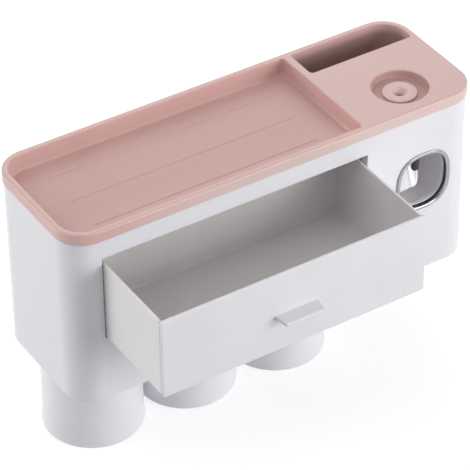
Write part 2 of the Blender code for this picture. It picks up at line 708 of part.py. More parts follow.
def make_cups(parent, finishes):
    """Three cups, hung upside down: each has a magnet behind a cap in its base, which is at the top."""
    mouth = CUP_TOP - CUP_HEIGHT
    pocket_radius = CUP_MAGNET_RADIUS + CUP_WALL / 2
    pocket_depth = CUP_MAGNET_THICK + CAP_THICK + FIT_GAP * 2
    pocket_top = CUP_TOP - pocket_depth
    boss_radius = pocket_radius + CUP_WALL
    boss_low = pocket_top - CUP_BASE
    inner_top = CUP_TOP - CUP_BASE
    base_edge = CUP_BASE_RADIUS - CUP_BASE_ROUND * (1 - DIAGONAL)
    round_low = CUP_TOP - CUP_BASE_ROUND
    round_mid = CUP_TOP - CUP_BASE_ROUND * (1 - DIAGONAL)
    lip = CUP_WALL / 3
    profile = [
        (0, pocket_top),
        (pocket_radius, pocket_top),
        (pocket_radius, CUP_TOP),
        (CUP_BASE_RADIUS - CUP_BASE_ROUND, CUP_TOP),
        (base_edge, round_mid),
        (CUP_BASE_RADIUS, round_low),
        (CUP_MOUTH_RADIUS, mouth + lip),
        (CUP_MOUTH_RADIUS - lip, mouth),
        (CUP_MOUTH_RADIUS - CUP_WALL + lip, mouth),
        (CUP_MOUTH_RADIUS - CUP_WALL, mouth + lip),
        (CUP_BASE_RADIUS - CUP_WALL, round_low),
        (CUP_BASE_RADIUS - CUP_BASE_ROUND, inner_top),
        (boss_radius, inner_top),
        (boss_radius, boss_low),
        (0, boss_low),
    ]
    for index, x in enumerate(CUP_XS, 1):
        body = group(f"cup_{index}_body", (x, CUP_Y, CUP_TOP), parent)
        smooth(piece(f"cup_{index}", turned(profile, x, CUP_Y, CUP_STEPS), finishes["cup"], body))
        magnet_low = pocket_top + FIT_GAP
        magnet = upright(circle(x, CUP_Y, CUP_MAGNET_RADIUS), magnet_low, magnet_low + CUP_MAGNET_THICK)
        smooth(piece(f"cup_magnet_{index}", magnet, finishes["magnet"], body))
        cap_radius = pocket_radius - FIT_GAP
        cap = upright(circle(x, CUP_Y, cap_radius), CUP_TOP - CAP_THICK, CUP_TOP)
        smooth(piece(f"magnet_cap_{index}", cap, finishes["cup"], body))


def make_lid(parent, finishes):
    """The tray lid with the inlet's deck let into it, the slot's pocket, and the inlet's cup and seal."""
    body = group("lid_body", (INLET_X, INLET_Y, LID_LOW), parent)
    lid = piece("tray_lid", upright(housing_outline(0), LID_LOW, LID_TOP), finishes["pink"], body)
    tray_left, tray_right = LEFT + RIM, LEFT + RIM + TRAY_LENGTH
    low_y, high_y = FRONT + RIM, BACK - RIM
    slot_left = tray_right + SLOT_BAND
    slot_right = RIGHT - RIM
    slot_low_y = high_y - SLOT_DEPTH_Y
    corner = LID_CORNER - RIM
    wall = TRAY_WALL
    buried = LID_TOP - LID_PLATE / 2

    hollow_left = slot_left - wall
    hollow_high_y = slot_low_y - wall - LID_PLATE
    hollow_corners = [wall, corner, wall, wall]
    hollow = rounded(hollow_left, slot_right, low_y, hollow_high_y, hollow_corners)
    cut(lid, upright(hollow, LID_LOW - CUT_OVERRUN, LID_TOP + CUT_OVERRUN), body)

    tray_corners = [corner, TRAY_RIGHT_CORNER, TRAY_RIGHT_CORNER, corner]
    tray_floor = LID_TOP - TRAY_SINK
    pan = rounded(
        tray_left - wall,
        tray_right + wall,
        low_y - wall,
        high_y + wall,
        [radius + wall for radius in tray_corners],
    )
    join(lid, upright(pan, tray_floor - TRAY_FLOOR, buried), body)

    tray = rounded(tray_left, tray_right, low_y, high_y, tray_corners)
    cut(lid, upright(tray, tray_floor, LID_TOP + CUT_OVERRUN), body)
    slot_corners = [SLOT_CORNER, SLOT_CORNER, corner, SLOT_CORNER]
    slot_floor = LID_TOP - SLOT_SINK
    slot = rounded(slot_left, slot_right, slot_low_y, high_y, slot_corners)
    cut(lid, upright(slot, LID_LOW - CUT_OVERRUN, LID_TOP + CUT_OVERRUN), body)
    middle_y = (low_y + high_y) / 2
    for index in range(GROOVES):
        y = middle_y + (index - (GROOVES - 1) / 2) * GROOVE_PITCH
        half = GROOVE_WIDTH / 2
        left = tray_left + GROOVE_MARGIN
        low_corner = (left, y - half, tray_floor - GROOVE_DEPTH)
        cut(lid, block(low_corner, (left + GROOVE_LENGTH, y + half, tray_floor + CUT_OVERRUN)), body)
    smooth(lid)

    deck_edge = rounded(
        hollow_left + FIT_GAP,
        slot_right - FIT_GAP,
        low_y + FIT_GAP,
        hollow_high_y - FIT_GAP,
        [radius - FIT_GAP for radius in hollow_corners],
    )
    deck = piece("inlet_deck", upright(deck_edge, LID_TOP - LID_PLATE, LID_TOP), finishes["pink"], body)
    recess = circle(INLET_X, INLET_Y, INLET_RADIUS, CUP_STEPS)
    cut(deck, upright(recess, LID_LOW, LID_TOP + CUT_OVERRUN), body)
    smooth(deck)

    around_slot = rounded(
        slot_left - wall,
        slot_right + wall,
        slot_low_y - wall,
        high_y + wall,
        [radius + wall for radius in slot_corners],
    )
    pocket_top = LID_LOW - FIT_GAP
    outside = upright(around_slot, slot_floor - TRAY_FLOOR, pocket_top)
    pocket = piece("slot_pocket", outside, finishes["pink"], body)
    cut(pocket, upright(slot, slot_floor, pocket_top + CUT_OVERRUN), body)
    smooth(pocket)
    cup_profile = [
        (SEAL_NECK + FIT_GAP, INLET_FLOOR - LID_PLATE),
        (INLET_RADIUS + wall, INLET_FLOOR - LID_PLATE),
        (INLET_RADIUS + wall, LID_TOP - LID_PLATE - FIT_GAP),
        (INLET_RADIUS, LID_TOP - LID_PLATE - FIT_GAP),
        (INLET_RADIUS, INLET_FLOOR),
        (SEAL_NECK + FIT_GAP, INLET_FLOOR),
    ]
    smooth(piece("inlet_cup", turned(cup_profile, INLET_X, INLET_Y, CUP_STEPS), finishes["pink"], body))

    low = INLET_FLOOR + FIT_GAP
    plate_top = low + SEAL_PLATE
    crest = plate_top + SEAL_CREST
    under = INLET_FLOOR - LID_PLATE - FIT_GAP
    bead_low = under - SEAL_BEAD_HEIGHT
    tail = bead_low - SEAL_TAIL
    profile = [
        (SEAL_BORE, tail),
        (SEAL_NECK, tail),
        (SEAL_NECK, bead_low),
        (SEAL_NECK + SEAL_BEAD, (bead_low + under) / 2),
        (SEAL_NECK + SEAL_BEAD, under),
        (SEAL_NECK, under),
        (SEAL_NECK, low),
        (SEAL_RADIUS, low),
        (SEAL_RADIUS, plate_top),
        (SEAL_CREST_RADIUS, crest),
        (SEAL_FUNNEL_RADIUS, plate_top),
        (SEAL_BORE, plate_top - SEAL_FUNNEL_DEPTH),
    ]
    seal = turned(profile, INLET_X, INLET_Y, ROUND_STEPS)
    smooth(piece("inlet_seal", seal, finishes["silicone_pink"], body), SEAL_SHADE_ANGLE)


def make_drawer(parent, finishes):
    """The drawer, shown pulled out: an open box on two skids, and its front with a pull ledge."""
    back = DRAWER_FACE_Y + (BACK - HOUSING_INSET - HOUSING_WALL - DRAWER_BACK_GAP - FACE_Y)
    box_front = DRAWER_FACE_Y + FRONT_THICK + FIT_GAP
    middle_x = (DRAWER_LEFT + DRAWER_RIGHT) / 2
    body = group("drawer_body", (middle_x, DRAWER_FACE_Y, DRAWER_TOP), parent)
    outer = block((DRAWER_LEFT, box_front, DRAWER_BOTTOM), (DRAWER_RIGHT, back, DRAWER_TOP))
    box = piece("drawer_box", outer, finishes["drawer"], body)
    floor_low = DRAWER_BOTTOM + DRAWER_SKID
    inner_left, inner_right = DRAWER_LEFT + DRAWER_WALL, DRAWER_RIGHT - DRAWER_WALL
    inside = block(
        (inner_left, box_front - CUT_OVERRUN, floor_low + DRAWER_FLOOR),
        (inner_right, back - DRAWER_WALL, DRAWER_TOP + CUT_OVERRUN),
    )
    cut(box, inside, body)
    under = block(
        (inner_left, box_front - CUT_OVERRUN, DRAWER_BOTTOM - CUT_OVERRUN),
        (inner_right, back + CUT_OVERRUN, floor_low),
    )
    cut(box, under, body)
    stop = block(
        (middle_x - STOP_WIDTH / 2, back - DRAWER_WALL, DRAWER_TOP - DRAWER_WALL),
        (middle_x + STOP_WIDTH / 2, back, DRAWER_TOP + STOP_HEIGHT),
    )
    join(box, stop, body)

    front_low = (DRAWER_LEFT, DRAWER_FACE_Y, FRONT_BOTTOM)
    front_high = (DRAWER_LEFT + FRONT_WIDTH, DRAWER_FACE_Y + FRONT_THICK, DRAWER_TOP)
    front = piece("drawer_front", block(front_low, front_high), finishes["drawer"], body)
    pull_x = DRAWER_LEFT + FRONT_WIDTH / 2
    pull_top = DRAWER_TOP - PULL_DROP
    root_y = DRAWER_FACE_Y + FRONT_THICK / 2
    tip_y = DRAWER_FACE_Y - PULL_REACH
    outline = [
        (pull_x - PULL_ROOT / 2, root_y),
        (pull_x - PULL_TIP / 2, tip_y),
        (pull_x + PULL_TIP / 2, tip_y),
        (pull_x + PULL_ROOT / 2, root_y),
    ]
    join(front, upright(outline, pull_top - PULL_THICK, pull_top), body)


def make_window(body, finishes):
    """The chrome bezel round the window and the grey liner behind it."""
    front = FACE_Y - FIT_GAP - BEZEL_PROUD
    flange = forward(squircle(0), front, FACE_Y - FIT_GAP)
    bezel = piece("window_bezel", flange, finishes["chrome"], body)
    sleeve_start = front + BEZEL_PROUD / 2
    join(bezel, forward(squircle(BEZEL_OVERLAP), sleeve_start, front + BEZEL_SLEEVE), body)
    cut(bezel, forward(squircle(BEZEL_BAND), front - CUT_OVERRUN, front + BEZEL_SLEEVE + CUT_OVERRUN), body)
    smooth(bezel)

    inner = HOLE_IN_FACE
    outer = forward(squircle(inner - LINER_WALL), LINER_FRONT, LINER_BACK)
    liner = piece("dispenser_liner", outer, finishes["liner"], body)
    cavity = forward(squircle(inner), LINER_FRONT - CUT_OVERRUN, LINER_BACK - LINER_WALL)
    cut(liner, cavity, body)
    roof_cut = block(
        (WINDOW_X - ROOF_CUT_HALF, FRONT + ROOF_CUT_START, PIN_Z + HUB_RADIUS),
        (WINDOW_X + ROOF_CUT_HALF, LINER_BACK - ROOF_CUT_END_WALL, LINER_ROOF + CUT_OVERRUN),
    )
    cut(liner, roof_cut, body)
    nozzle_hole = circle(WINDOW_X, NOZZLE_Y, NOZZLE_RADIUS + FIT_GAP)
    cut(liner, upright(nozzle_hole, LINER_ROOF - LINER_WALL - CUT_OVERRUN, LINER_ROOF + CUT_OVERRUN), body)
    cut(liner, laid_on_pivot(upright(circle(0, 0, PIN_RADIUS + FIT_GAP), -PIN_LENGTH, PIN_LENGTH)), body)
    for side in (-1, 1):
        hole = circle(WINDOW_X + side * FRAME_SCREW_SPREAD, WINDOW_Z, SCREW_RADIUS + FIT_GAP, SMALL_STEPS)
        cut(liner, forward(hole, LINER_BACK - LINER_WALL - CUT_OVERRUN, LINER_BACK + CUT_OVERRUN), body)
    smooth(liner)


def make_pump(body, finishes):
    """What carries the paste: throat, bulb, channel head and nozzle, and the frame that holds the throat."""
    throat_profile = [
        (THROAT_BORE, THROAT_LOW),
        (THROAT_RADIUS, THROAT_LOW),
        (THROAT_RADIUS, THROAT_TOP - THROAT_FLANGE),
        (THROAT_FLANGE_RADIUS, THROAT_TOP - THROAT_FLANGE),
        (THROAT_FLANGE_RADIUS, THROAT_TOP),
        (THROAT_BORE, THROAT_TOP),
    ]
    throat = turned(throat_profile, INLET_X, INLET_Y, ROUND_STEPS)
    smooth(piece("inlet_throat", throat, finishes["white"], body))

    bulb_top = BULB_LOW + BULB_HEIGHT
    shoulder = BULB_HEIGHT * BULB_SHOULDER_SHARE
    waist_low = BULB_LOW + shoulder
    waist_high = bulb_top - shoulder
    bulb_profile = [
        (BULB_NECK - BULB_WALL, BULB_LOW),
        (BULB_NECK, BULB_LOW),
        (BULB_RADIUS, waist_low),
        (BULB_RADIUS, waist_high),
        (BULB_NECK, bulb_top),
        (BULB_NECK - BULB_WALL, bulb_top),
        (BULB_RADIUS - BULB_WALL, waist_high),
        (BULB_RADIUS - BULB_WALL, waist_low),
    ]
    bulb = turned(bulb_profile, INLET_X, INLET_Y, ROUND_STEPS)
    smooth(piece("pump_bulb", bulb, finishes["silicone"], body))

    head_front = FRONT + HEAD_FROM_FRONT
    head_back = head_front + HEAD_LENGTH
    low_corner = (WINDOW_X - HEAD_HALF, head_front, HEAD_LOW)
    outside = block(low_corner, (WINDOW_X + HEAD_HALF, head_back, HEAD_TOP))
    head = piece("channel_head", outside, finishes["white"], body)
    middle = (HEAD_LOW + HEAD_TOP) / 2
    inlet_hole = circle(INLET_X, INLET_Y, CHANNEL_RADIUS, SMALL_STEPS)
    cut(head, upright(inlet_hole, middle, HEAD_TOP + CUT_OVERRUN), body)
    channel = circle(WINDOW_X, middle, CHANNEL_RADIUS, SMALL_STEPS)
    cut(head, forward(channel, NOZZLE_Y, INLET_Y + CHANNEL_RADIUS / 2), body)
    outlet_hole = circle(WINDOW_X, NOZZLE_Y, CHANNEL_RADIUS * 2 / 3, SMALL_STEPS)
    cut(head, upright(outlet_hole, HEAD_LOW - CUT_OVERRUN, middle), body)
    collar_hole = circle(WINDOW_X, NOZZLE_Y, NOZZLE_COLLAR_RADIUS + FIT_GAP)
    cut(head, upright(collar_hole, HEAD_LOW - CUT_OVERRUN, HEAD_LOW + NOZZLE_COLLAR + FIT_GAP), body)

    collar_low = HEAD_LOW
    collar_top = collar_low + NOZZLE_COLLAR
    tip = collar_top - NOZZLE_LENGTH
    profile = [
        (NOZZLE_BORE, collar_top),
        (NOZZLE_COLLAR_RADIUS, collar_top),
        (NOZZLE_COLLAR_RADIUS, collar_low),
        (NOZZLE_RADIUS, collar_low),
        (NOZZLE_RADIUS, tip + NOZZLE_RADIUS),
    ]
    for step in range(1, NOZZLE_TIP_STEPS + 1):
        angle = math.acos(NOZZLE_BORE / NOZZLE_RADIUS) * step / NOZZLE_TIP_STEPS
        profile.append((NOZZLE_RADIUS * math.cos(angle), tip + NOZZLE_RADIUS * (1 - math.sin(angle))))
    smooth(piece("nozzle", turned(profile, WINDOW_X, NOZZLE_Y, ROUND_STEPS), finishes["nozzle"], body))

    frame_front = LINER_BACK + FIT_GAP
    frame_back = frame_front + FRAME_THICK
    shelf_top = THROAT_TOP - THROAT_FLANGE - FIT_GAP
    plate = block(
        (WINDOW_X - FRAME_HALF, frame_front, LID_LOW - FRAME_BOTTOM_DROP),
        (WINDOW_X + FRAME_HALF, frame_back, shelf_top),
    )
    frame = piece("dispenser_frame", plate, finishes["white"], body)
    shelf = block(
        (WINDOW_X - FRAME_HALF, FRONT + FRAME_SHELF_FROM_FRONT, shelf_top - FRAME_THICK),
        (WINDOW_X + FRAME_HALF, frame_front + FRAME_THICK / 2, shelf_top),
    )
    join(frame, shelf, body)
    throat_hole = circle(INLET_X, INLET_Y, THROAT_RADIUS + FIT_GAP)
    cut(frame, upright(throat_hole, shelf_top - FRAME_THICK - CUT_OVERRUN, shelf_top + CUT_OVERRUN), body)
    for side, name in ((-1, "frame_screw_left"), (1, "frame_screw_right")):
        x = WINDOW_X + side * FRAME_SCREW_SPREAD
        hole = circle(x, WINDOW_Z, SCREW_RADIUS + FIT_GAP, SMALL_STEPS)
        cut(frame, forward(hole, frame_front - CUT_OVERRUN, frame_back + CUT_OVERRUN), body)
        head_at = frame_back + FIT_GAP
        tip_at = frame_back - FRAME_SCREW_LENGTH
        rings = [(SCREW_RADIUS, tip_at), (SCREW_RADIUS, head_at)]
        rings += [(SCREW_HEAD_RADIUS, head_at), (SCREW_HEAD_RADIUS, head_at + SCREW_HEAD)]
        rows = [[(u, y, v) for u, v in circle(x, WINDOW_Z, radius, SMALL_STEPS)] for radius, y in rings]
        smooth(piece(name, lofted(rows), finishes["steel"], body))


def make_lever(parent, finishes):
    """The push lever: a hub on the pin, a gutter-shaped paddle and a yoke that squeezes the bulb."""
    pin_half = PIN_LENGTH / 2
    pin = upright(circle(0, 0, PIN_RADIUS, SMALL_STEPS), -pin_half, pin_half)
    smooth(piece("lever_pin", laid_on_pivot(pin), finishes["steel"], parent))

    half = HUB_LENGTH / 2
    coil_start = half + FIT_GAP
    coil_profile = [
        (SPRING_RADIUS, coil_start),
        (SPRING_RADIUS, coil_start + SPRING_LENGTH),
        (SPRING_RADIUS - SPRING_WALL, coil_start + SPRING_LENGTH),
        (SPRING_RADIUS - SPRING_WALL, coil_start),
    ]
    coil = laid_on_pivot(turned(coil_profile, 0, 0, SMALL_STEPS))
    smooth(piece("lever_spring", coil, finishes["steel"], parent))

    body = group("push_lever_body", (WINDOW_X, PIN_Y, PIN_Z), parent)
    hub = laid_on_pivot(upright(circle(0, 0, HUB_RADIUS), -half, half))
    lever = piece("push_lever", hub, finishes["lever"], body)
    join(lever, lofted(paddle_rings()), body)
    bar_front = INLET_Y + BULB_RADIUS + FIT_GAP
    bar_back = bar_front + YOKE_BAR_THICK
    bar_low = BULB_LOW + BULB_HEIGHT / 2 - YOKE_BAR_HEIGHT / 2
    bar_top = bar_low + YOKE_BAR_HEIGHT
    arm = [
        (PIN_Y - YOKE_DEPTH / 2, PIN_Z),
        (PIN_Y + YOKE_DEPTH / 2, PIN_Z),
        (bar_back, bar_low),
        (bar_back, bar_top),
        (bar_front, bar_top),
    ]
    for left in (-half, half - YOKE_ARM):
        join(lever, sideways(arm, WINDOW_X + left, WINDOW_X + left + YOKE_ARM), body)
    reach = half - YOKE_ARM / 2
    bar = block((WINDOW_X - reach, bar_front, bar_low), (WINDOW_X + reach, bar_back, bar_top))
    join(lever, bar, body)
    cut(lever, laid_on_pivot(upright(circle(0, 0, PIN_RADIUS + FIT_GAP), -PIN_LENGTH, PIN_LENGTH)), body)
    smooth(lever)


def paddle_rings():
    """Cross-sections of the gutter from the hub down: arcs open to the front, narrower at the tip."""
    rings = []
    for along_share, width_share in zip(PADDLE_ALONG_SHARES, PADDLE_WIDTH_SHARES):
        along = along_share * PADDLE_LENGTH
        drop = along * math.cos(PADDLE_TILT)
        ahead = along * math.sin(PADDLE_TILT)
        front_arc, back_arc = [], []
        for step in range(CORNER_STEPS + 1):
            angle = width_share * PADDLE_HALF_ANGLE * (2 * step / CORNER_STEPS - 1)
            for arc, radius in ((front_arc, PADDLE_RADIUS), (back_arc, PADDLE_RADIUS + PADDLE_THICK)):
                x = WINDOW_X + radius * math.sin(angle)
                y = PIN_Y - ahead + radius * math.cos(angle) - PADDLE_RADIUS
                arc.append((x, y, PIN_Z - drop))
        rings.append(front_arc + back_arc[::-1])
    return rings


def make_cover(body, finishes):
    """The cover under the dispenser's bay, with its two screws."""
    corner = LID_CORNER - INNER_FIT
    outline = rounded(
        BAY_LEFT + FIT_GAP,
        RIGHT - INNER_FIT,
        FRONT + INNER_FIT,
        BACK - INNER_FIT,
        [FIT_GAP, corner, corner, FIT_GAP],
    )
    top = HOUSING_BOTTOM + COVER_THICK
    cover = piece("bottom_cover", upright(outline, HOUSING_BOTTOM, top), finishes["white"], body)
    for index, (x, y) in enumerate(cover_screw_places(), 1):
        cut(cover, screw_hole(x, y, HOUSING_BOTTOM), body)
        screw(f"cover_screw_{index}", x, y, HOUSING_BOTTOM, body, finishes["steel"], 1)


def main():
    clear_scene()
    finishes = {
        "white": material("white_abs", (0.80, 0.80, 0.82), 0.35),
        "drawer": material("drawer_abs", (0.76, 0.76, 0.78), 0.38),
        "pink": material("pink_abs", (0.68, 0.44, 0.42), 0.50),
        "silicone_pink": material("pink_silicone", (0.71, 0.49, 0.47), 0.60),
        "silicone": material("clear_silicone", (0.75, 0.77, 0.78), 0.45),
        "cup": material("cup_polypropylene", (0.80, 0.80, 0.83), 0.40),
        "chrome": material("chrome_plating", (0.62, 0.62, 0.64), 0.10, 1.0),
        "liner": material("grey_liner_abs", (0.36, 0.34, 0.35), 0.55),
        "lever": material("translucent_lever", (0.82, 0.83, 0.85), 0.30),
        "nozzle": material("nozzle_rubber", (0.035, 0.028, 0.024), 0.45),
        "steel": material("screw_steel", (0.55, 0.55, 0.56), 0.30, 1.0),
        "magnet": material("nickel_magnet", (0.50, 0.50, 0.51), 0.25, 1.0),
        "clear": material("clear_plate", (0.72, 0.74, 0.75), 0.25),
        "foam": material("adhesive_foam", (0.60, 0.61, 0.60), 0.70),
    }
    wall = group("wall_mount", (0, 0, 0))
    make_wall_plate(wall, finishes)
    housing = group("housing", (0, 0, 0), wall)
    make_housing(housing, finishes)
    make_deck(housing, finishes)
    make_seats(housing, finishes)
    make_rack(housing, finishes)
    make_window(housing, finishes)
    make_pump(housing, finishes)
    make_cover(housing, finishes)
    make_cups(housing, finishes)
    make_lid(housing, finishes)
    make_drawer(housing, finishes)
    make_lever(housing, finishes)


main()
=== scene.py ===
# %% [markdown]
# # A wall toothbrush holder in white and pink plastic
# The real holder is a set of injection mouldings: a pink tray lid, a white housing with a drawer, a
# chrome-ringed window with a toothpaste dispenser behind it, and three cups that hang upside down from magnets.
# After a few helpers, each cell makes one of these pieces, or their finishes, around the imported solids.

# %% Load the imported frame
import math

import bmesh
import bpy
import numpy as np
from mathutils import Matrix, Vector
from mathutils.geometry import delaunay_2d_cdt


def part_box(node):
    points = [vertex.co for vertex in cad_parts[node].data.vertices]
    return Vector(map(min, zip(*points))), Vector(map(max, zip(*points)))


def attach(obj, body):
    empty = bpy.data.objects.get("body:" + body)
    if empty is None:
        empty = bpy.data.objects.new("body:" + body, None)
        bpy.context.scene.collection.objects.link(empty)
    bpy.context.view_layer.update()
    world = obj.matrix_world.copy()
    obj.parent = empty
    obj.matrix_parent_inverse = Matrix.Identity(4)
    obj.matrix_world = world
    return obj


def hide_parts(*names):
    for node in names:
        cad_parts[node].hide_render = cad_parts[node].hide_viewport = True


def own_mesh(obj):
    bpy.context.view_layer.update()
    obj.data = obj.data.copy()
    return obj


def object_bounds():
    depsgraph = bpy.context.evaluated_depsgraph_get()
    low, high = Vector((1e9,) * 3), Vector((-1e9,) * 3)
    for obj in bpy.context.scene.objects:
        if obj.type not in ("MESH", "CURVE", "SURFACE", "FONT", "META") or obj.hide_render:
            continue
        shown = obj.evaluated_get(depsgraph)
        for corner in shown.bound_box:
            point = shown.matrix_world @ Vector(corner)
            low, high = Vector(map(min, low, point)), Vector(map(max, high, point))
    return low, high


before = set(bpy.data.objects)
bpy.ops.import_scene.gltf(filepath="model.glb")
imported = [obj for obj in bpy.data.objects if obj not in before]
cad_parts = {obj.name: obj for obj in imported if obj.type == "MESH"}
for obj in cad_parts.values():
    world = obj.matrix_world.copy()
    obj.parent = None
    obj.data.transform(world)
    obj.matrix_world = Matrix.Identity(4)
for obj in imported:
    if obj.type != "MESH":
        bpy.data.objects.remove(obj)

CAD_BOX = [list(corner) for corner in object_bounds()]
print("packed nodes:", len(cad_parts))

# %% [markdown]
# ## A ruler for the whole holder
# A moulding's drawing is read from one corner, in millimetres. Here that corner is the lid's lower front left
# one, where the pink lid meets the white housing: x goes to the right, y goes back to the wall, z goes up.
# The corner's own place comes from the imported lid, so every piece lands where the solids are.

# %% Millimetres from the lid's corner
MM = 0.001
LID_EDGE = 8.4
lid_low, lid_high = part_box("tray_lid")
CORNER = np.array([lid_low.x, lid_low.y, lid_high.z - LID_EDGE * MM])


def placed(points):
    """Turns millimetres from the lid's corner into metres in the row frame: the corner plus a thousandth."""
    return CORNER + np.asarray(points, float) * MM


def box_mm(node):
    """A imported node's lowest and highest corners, in millimetres from the lid's corner."""
    return [(np.array(corner) - CORNER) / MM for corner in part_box(node)]


LID_WIDTH, LID_DEPTH = box_mm("tray_lid")[1][:2]
print("lid, mm:", round(LID_WIDTH, 1), "x", round(LID_DEPTH, 1))

# %% [markdown]
# ## Outlines, profiles and the surfaces between them
# A moulding could be carved with Booleans, but its fillets then break up. Instead each wall is a short profile
# carried round an outline: every profile point has an inset from the outline and a height, so one array of
# outlines, one for each profile point, is the whole wall. Flat faces with holes are filled between the rings.

# %% Outlines
CORNER_STEPS, TURN_STEPS, WINDOW_STEPS = 20, 112, 128
# A sharp corner keeps a tiny radius, so that every outline of a wall has the same count of points
LEAST_RADIUS = 0.05
# A fillet ends in a narrow flat strip, so that the wide face beside it shades flat
FLAT = 0.3


def rounded(x0, x1, y0, y1, radii, steps=CORNER_STEPS):
    """A rectangle with round corners: each point is a corner's centre plus radius times cosine and sine."""
    r = np.maximum(np.broadcast_to(np.asarray(radii, float), (4,)), LEAST_RADIUS)[:, None]
    cx = np.array([x0, x1, x1, x0])[:, None] + r * np.array([1, -1, -1, 1])[:, None]
    cy = np.array([y0, y0, y1, y1])[:, None] + r * np.array([1, 1, -1, -1])[:, None]
    angle = math.pi + (np.arange(4)[:, None] + np.linspace(0, 1, steps + 1)) * math.pi / 2
    return np.stack([cx + r * np.cos(angle), cy + r * np.sin(angle)], -1).reshape(-1, 2)


def around(x, y, radius, steps=TURN_STEPS):
    """A circle: centre plus radius times the cosine and sine of the angle."""
    angle = np.arange(steps) * 2 * math.pi / steps
    return np.stack([x + radius * np.cos(angle), y + radius * np.sin(angle)], -1)


def quarter(inset, height, radius, start, turn=-90, steps=5):
    """A quarter circle of a profile: (inset, height) plus radius times the cosine and sine of the angle."""
    angle = np.radians(start + turn * np.linspace(0, 1, steps + 1))
    return np.stack([inset + radius * np.cos(angle), height + radius * np.sin(angle)], -1)


print("points in a rounded outline:", len(rounded(0, 1, 0, 1, 0)))


# %% Collecting a moulding's faces
# For each plane, its two axes and the one across it
PLANES = {"xy": (0, 1, 2), "xz": (0, 2, 1), "yz": (1, 2, 0)}
# The triangulation's first mode fills the inside of all the loops; points nearer than this, in mm, are one
FILL_INSIDE, SAME_POINT = 1, 1e-6


class Moulding:
    """Points and faces of one moulding, in millimetres, before they are welded into a mesh."""

    def __init__(self):
        self.points, self.faces, self.count = [], [], 0

    def add(self, points, faces):
        """Keeps more points, and faces that count from the first of them."""
        self.points.append(np.asarray(points, float).reshape(-1, 3))
        self.faces += (np.asarray(faces) + self.count).tolist()
        self.count += len(self.points[-1])

    def grid(self, rows, closed=True):
        """Quads between neighbours of an array of rows of points; closed joins each row's end to its start."""
        rows = np.asarray(rows, float)
        index = np.arange(rows.shape[0] * rows.shape[1]).reshape(rows.shape[:2])
        if closed:
            index = np.hstack([index, index[:, :1]])
        quads = np.stack([index[:-1, :-1], index[:-1, 1:], index[1:, 1:], index[1:, :-1]], -1)
        self.add(rows, quads.reshape(-1, 4))
        return rows

    def wall(self, plan, profile, plane="xy", closed=True):
        """Carries a profile round a plan: row k is the plan at the profile's inset k, at its height k."""
        u, v, w = PLANES[plane]
        outlines = [plan(inset) for inset, _ in profile]
        rows = np.empty((len(outlines), len(outlines[0]), 3))
        rows[..., [u, v]] = np.array(outlines)
        rows[..., w] = np.asarray(profile, float)[:, 1, None]
        return self.grid(rows, closed)

    def turned(self, profile, x, y, closed=False):
        """Turns a profile of (radius, height) about an upright line; closed joins its two ends."""
        profile = np.asarray(profile, float)
        if closed:
            profile = np.vstack([profile, profile[:1]])
        return self.wall(lambda radius: around(x, y, radius), profile)

    def cap(self, *loops, plane="xy"):
        """A flat face inside the first loop and outside the others, as triangles on their own points.

        Each loop runs anticlockwise, which its area's sign tells: half the sum of x times the step in y, less y
        times the step in x. A triangle that lies in the first loop alone is kept.
        """
        u, v, w = PLANES[plane]
        flat = [loop[:, [u, v]] for loop in loops]
        steps = [np.roll(each, -1, axis=0) - each for each in flat]
        areas = [np.sum(each[:, 0] * step[:, 1] - each[:, 1] * step[:, 0]) / 2
                 for each, step in zip(flat, steps)]
        flat = [each if area > 0 else each[::-1] for each, area in zip(flat, areas)]
        starts = np.cumsum([0] + [len(each) for each in flat])
        rims = [list(range(a, b)) for a, b in zip(starts, starts[1:])]
        corners, _, faces, _, _, inside = delaunay_2d_cdt(
            np.vstack(flat).tolist(), [], rims, FILL_INSIDE, SAME_POINT)
        points = np.empty((len(corners), 3))
        points[:, [u, v]] = np.array(corners)
        points[:, w] = loops[0][0, w]
        self.add(points, [face for face, loops_round_it in zip(faces, inside) if loops_round_it == [0]])


print("planes to draw in:", *PLANES)

# %% From a moulding to a piece
# Points nearer than this, in metres, are welded, and an edge that turns less than this stays smooth. The wider
# a face is, the more it counts in the shading of its corners
WELD, SMOOTH_BELOW, FLAT_WEIGHT = 2e-6, math.radians(38), 90


def piece(name, moulding, finish, body, *replaced):
    """Welds a moulding, points its faces outwards, shades its fillets and lets it ride on a body."""
    mesh = bpy.data.meshes.new(name)
    mesh.from_pydata(placed(np.vstack(moulding.points)).tolist(), [], moulding.faces)
    shape = bmesh.new()
    shape.from_mesh(mesh)
    bmesh.ops.remove_doubles(shape, verts=shape.verts, dist=WELD)
    bmesh.ops.dissolve_degenerate(shape, edges=shape.edges, dist=WELD)
    bmesh.ops.recalc_face_normals(shape, faces=shape.faces)
    open_edges = sum(len(edge.link_faces) != 2 for edge in shape.edges)
    shape.to_mesh(mesh)
    shape.free()
    mesh.materials.append(finish)
    mesh.shade_smooth()
    mesh.set_sharp_from_angle(angle=SMOOTH_BELOW)
    made = bpy.data.objects.new(name, mesh)
    bpy.context.scene.collection.objects.link(made)
    level = made.modifiers.new("flat faces stay flat", "WEIGHTED_NORMAL")
    level.keep_sharp = True
    level.weight = FLAT_WEIGHT
    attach(made, body)
    if replaced:
        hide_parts(*replaced)
    print(name, len(mesh.polygons), "faces,", open_edges, "open edges")
    return made


# %% [markdown]
# ## Plastics, rubber and metal
# Each finish starts from what the real one is and how its surface was made. A moulded surface is never one
# flat colour: the melt flows leave a faint mottle, the mould's texture scatters the light, and hands polish
# it unevenly. So each one has a slow colour mottle, a fine grain in its bump, and a roughness that drifts.
# Four of the lid's pink finishes also carry painted light and shade in their tone.

# %% Colours and nodes
def linear(code):
    """An sRGB hex colour as linear values: up to 0.04045 the value over 12.92, above it the 2.4 power."""
    parts = np.array([int(code[start:start + 2], 16) for start in (0, 2, 4)]) / 255
    return np.where(parts <= 0.04045, parts / 12.92, ((parts + 0.055) / 1.055) ** 2.4).tolist() + [1.0]


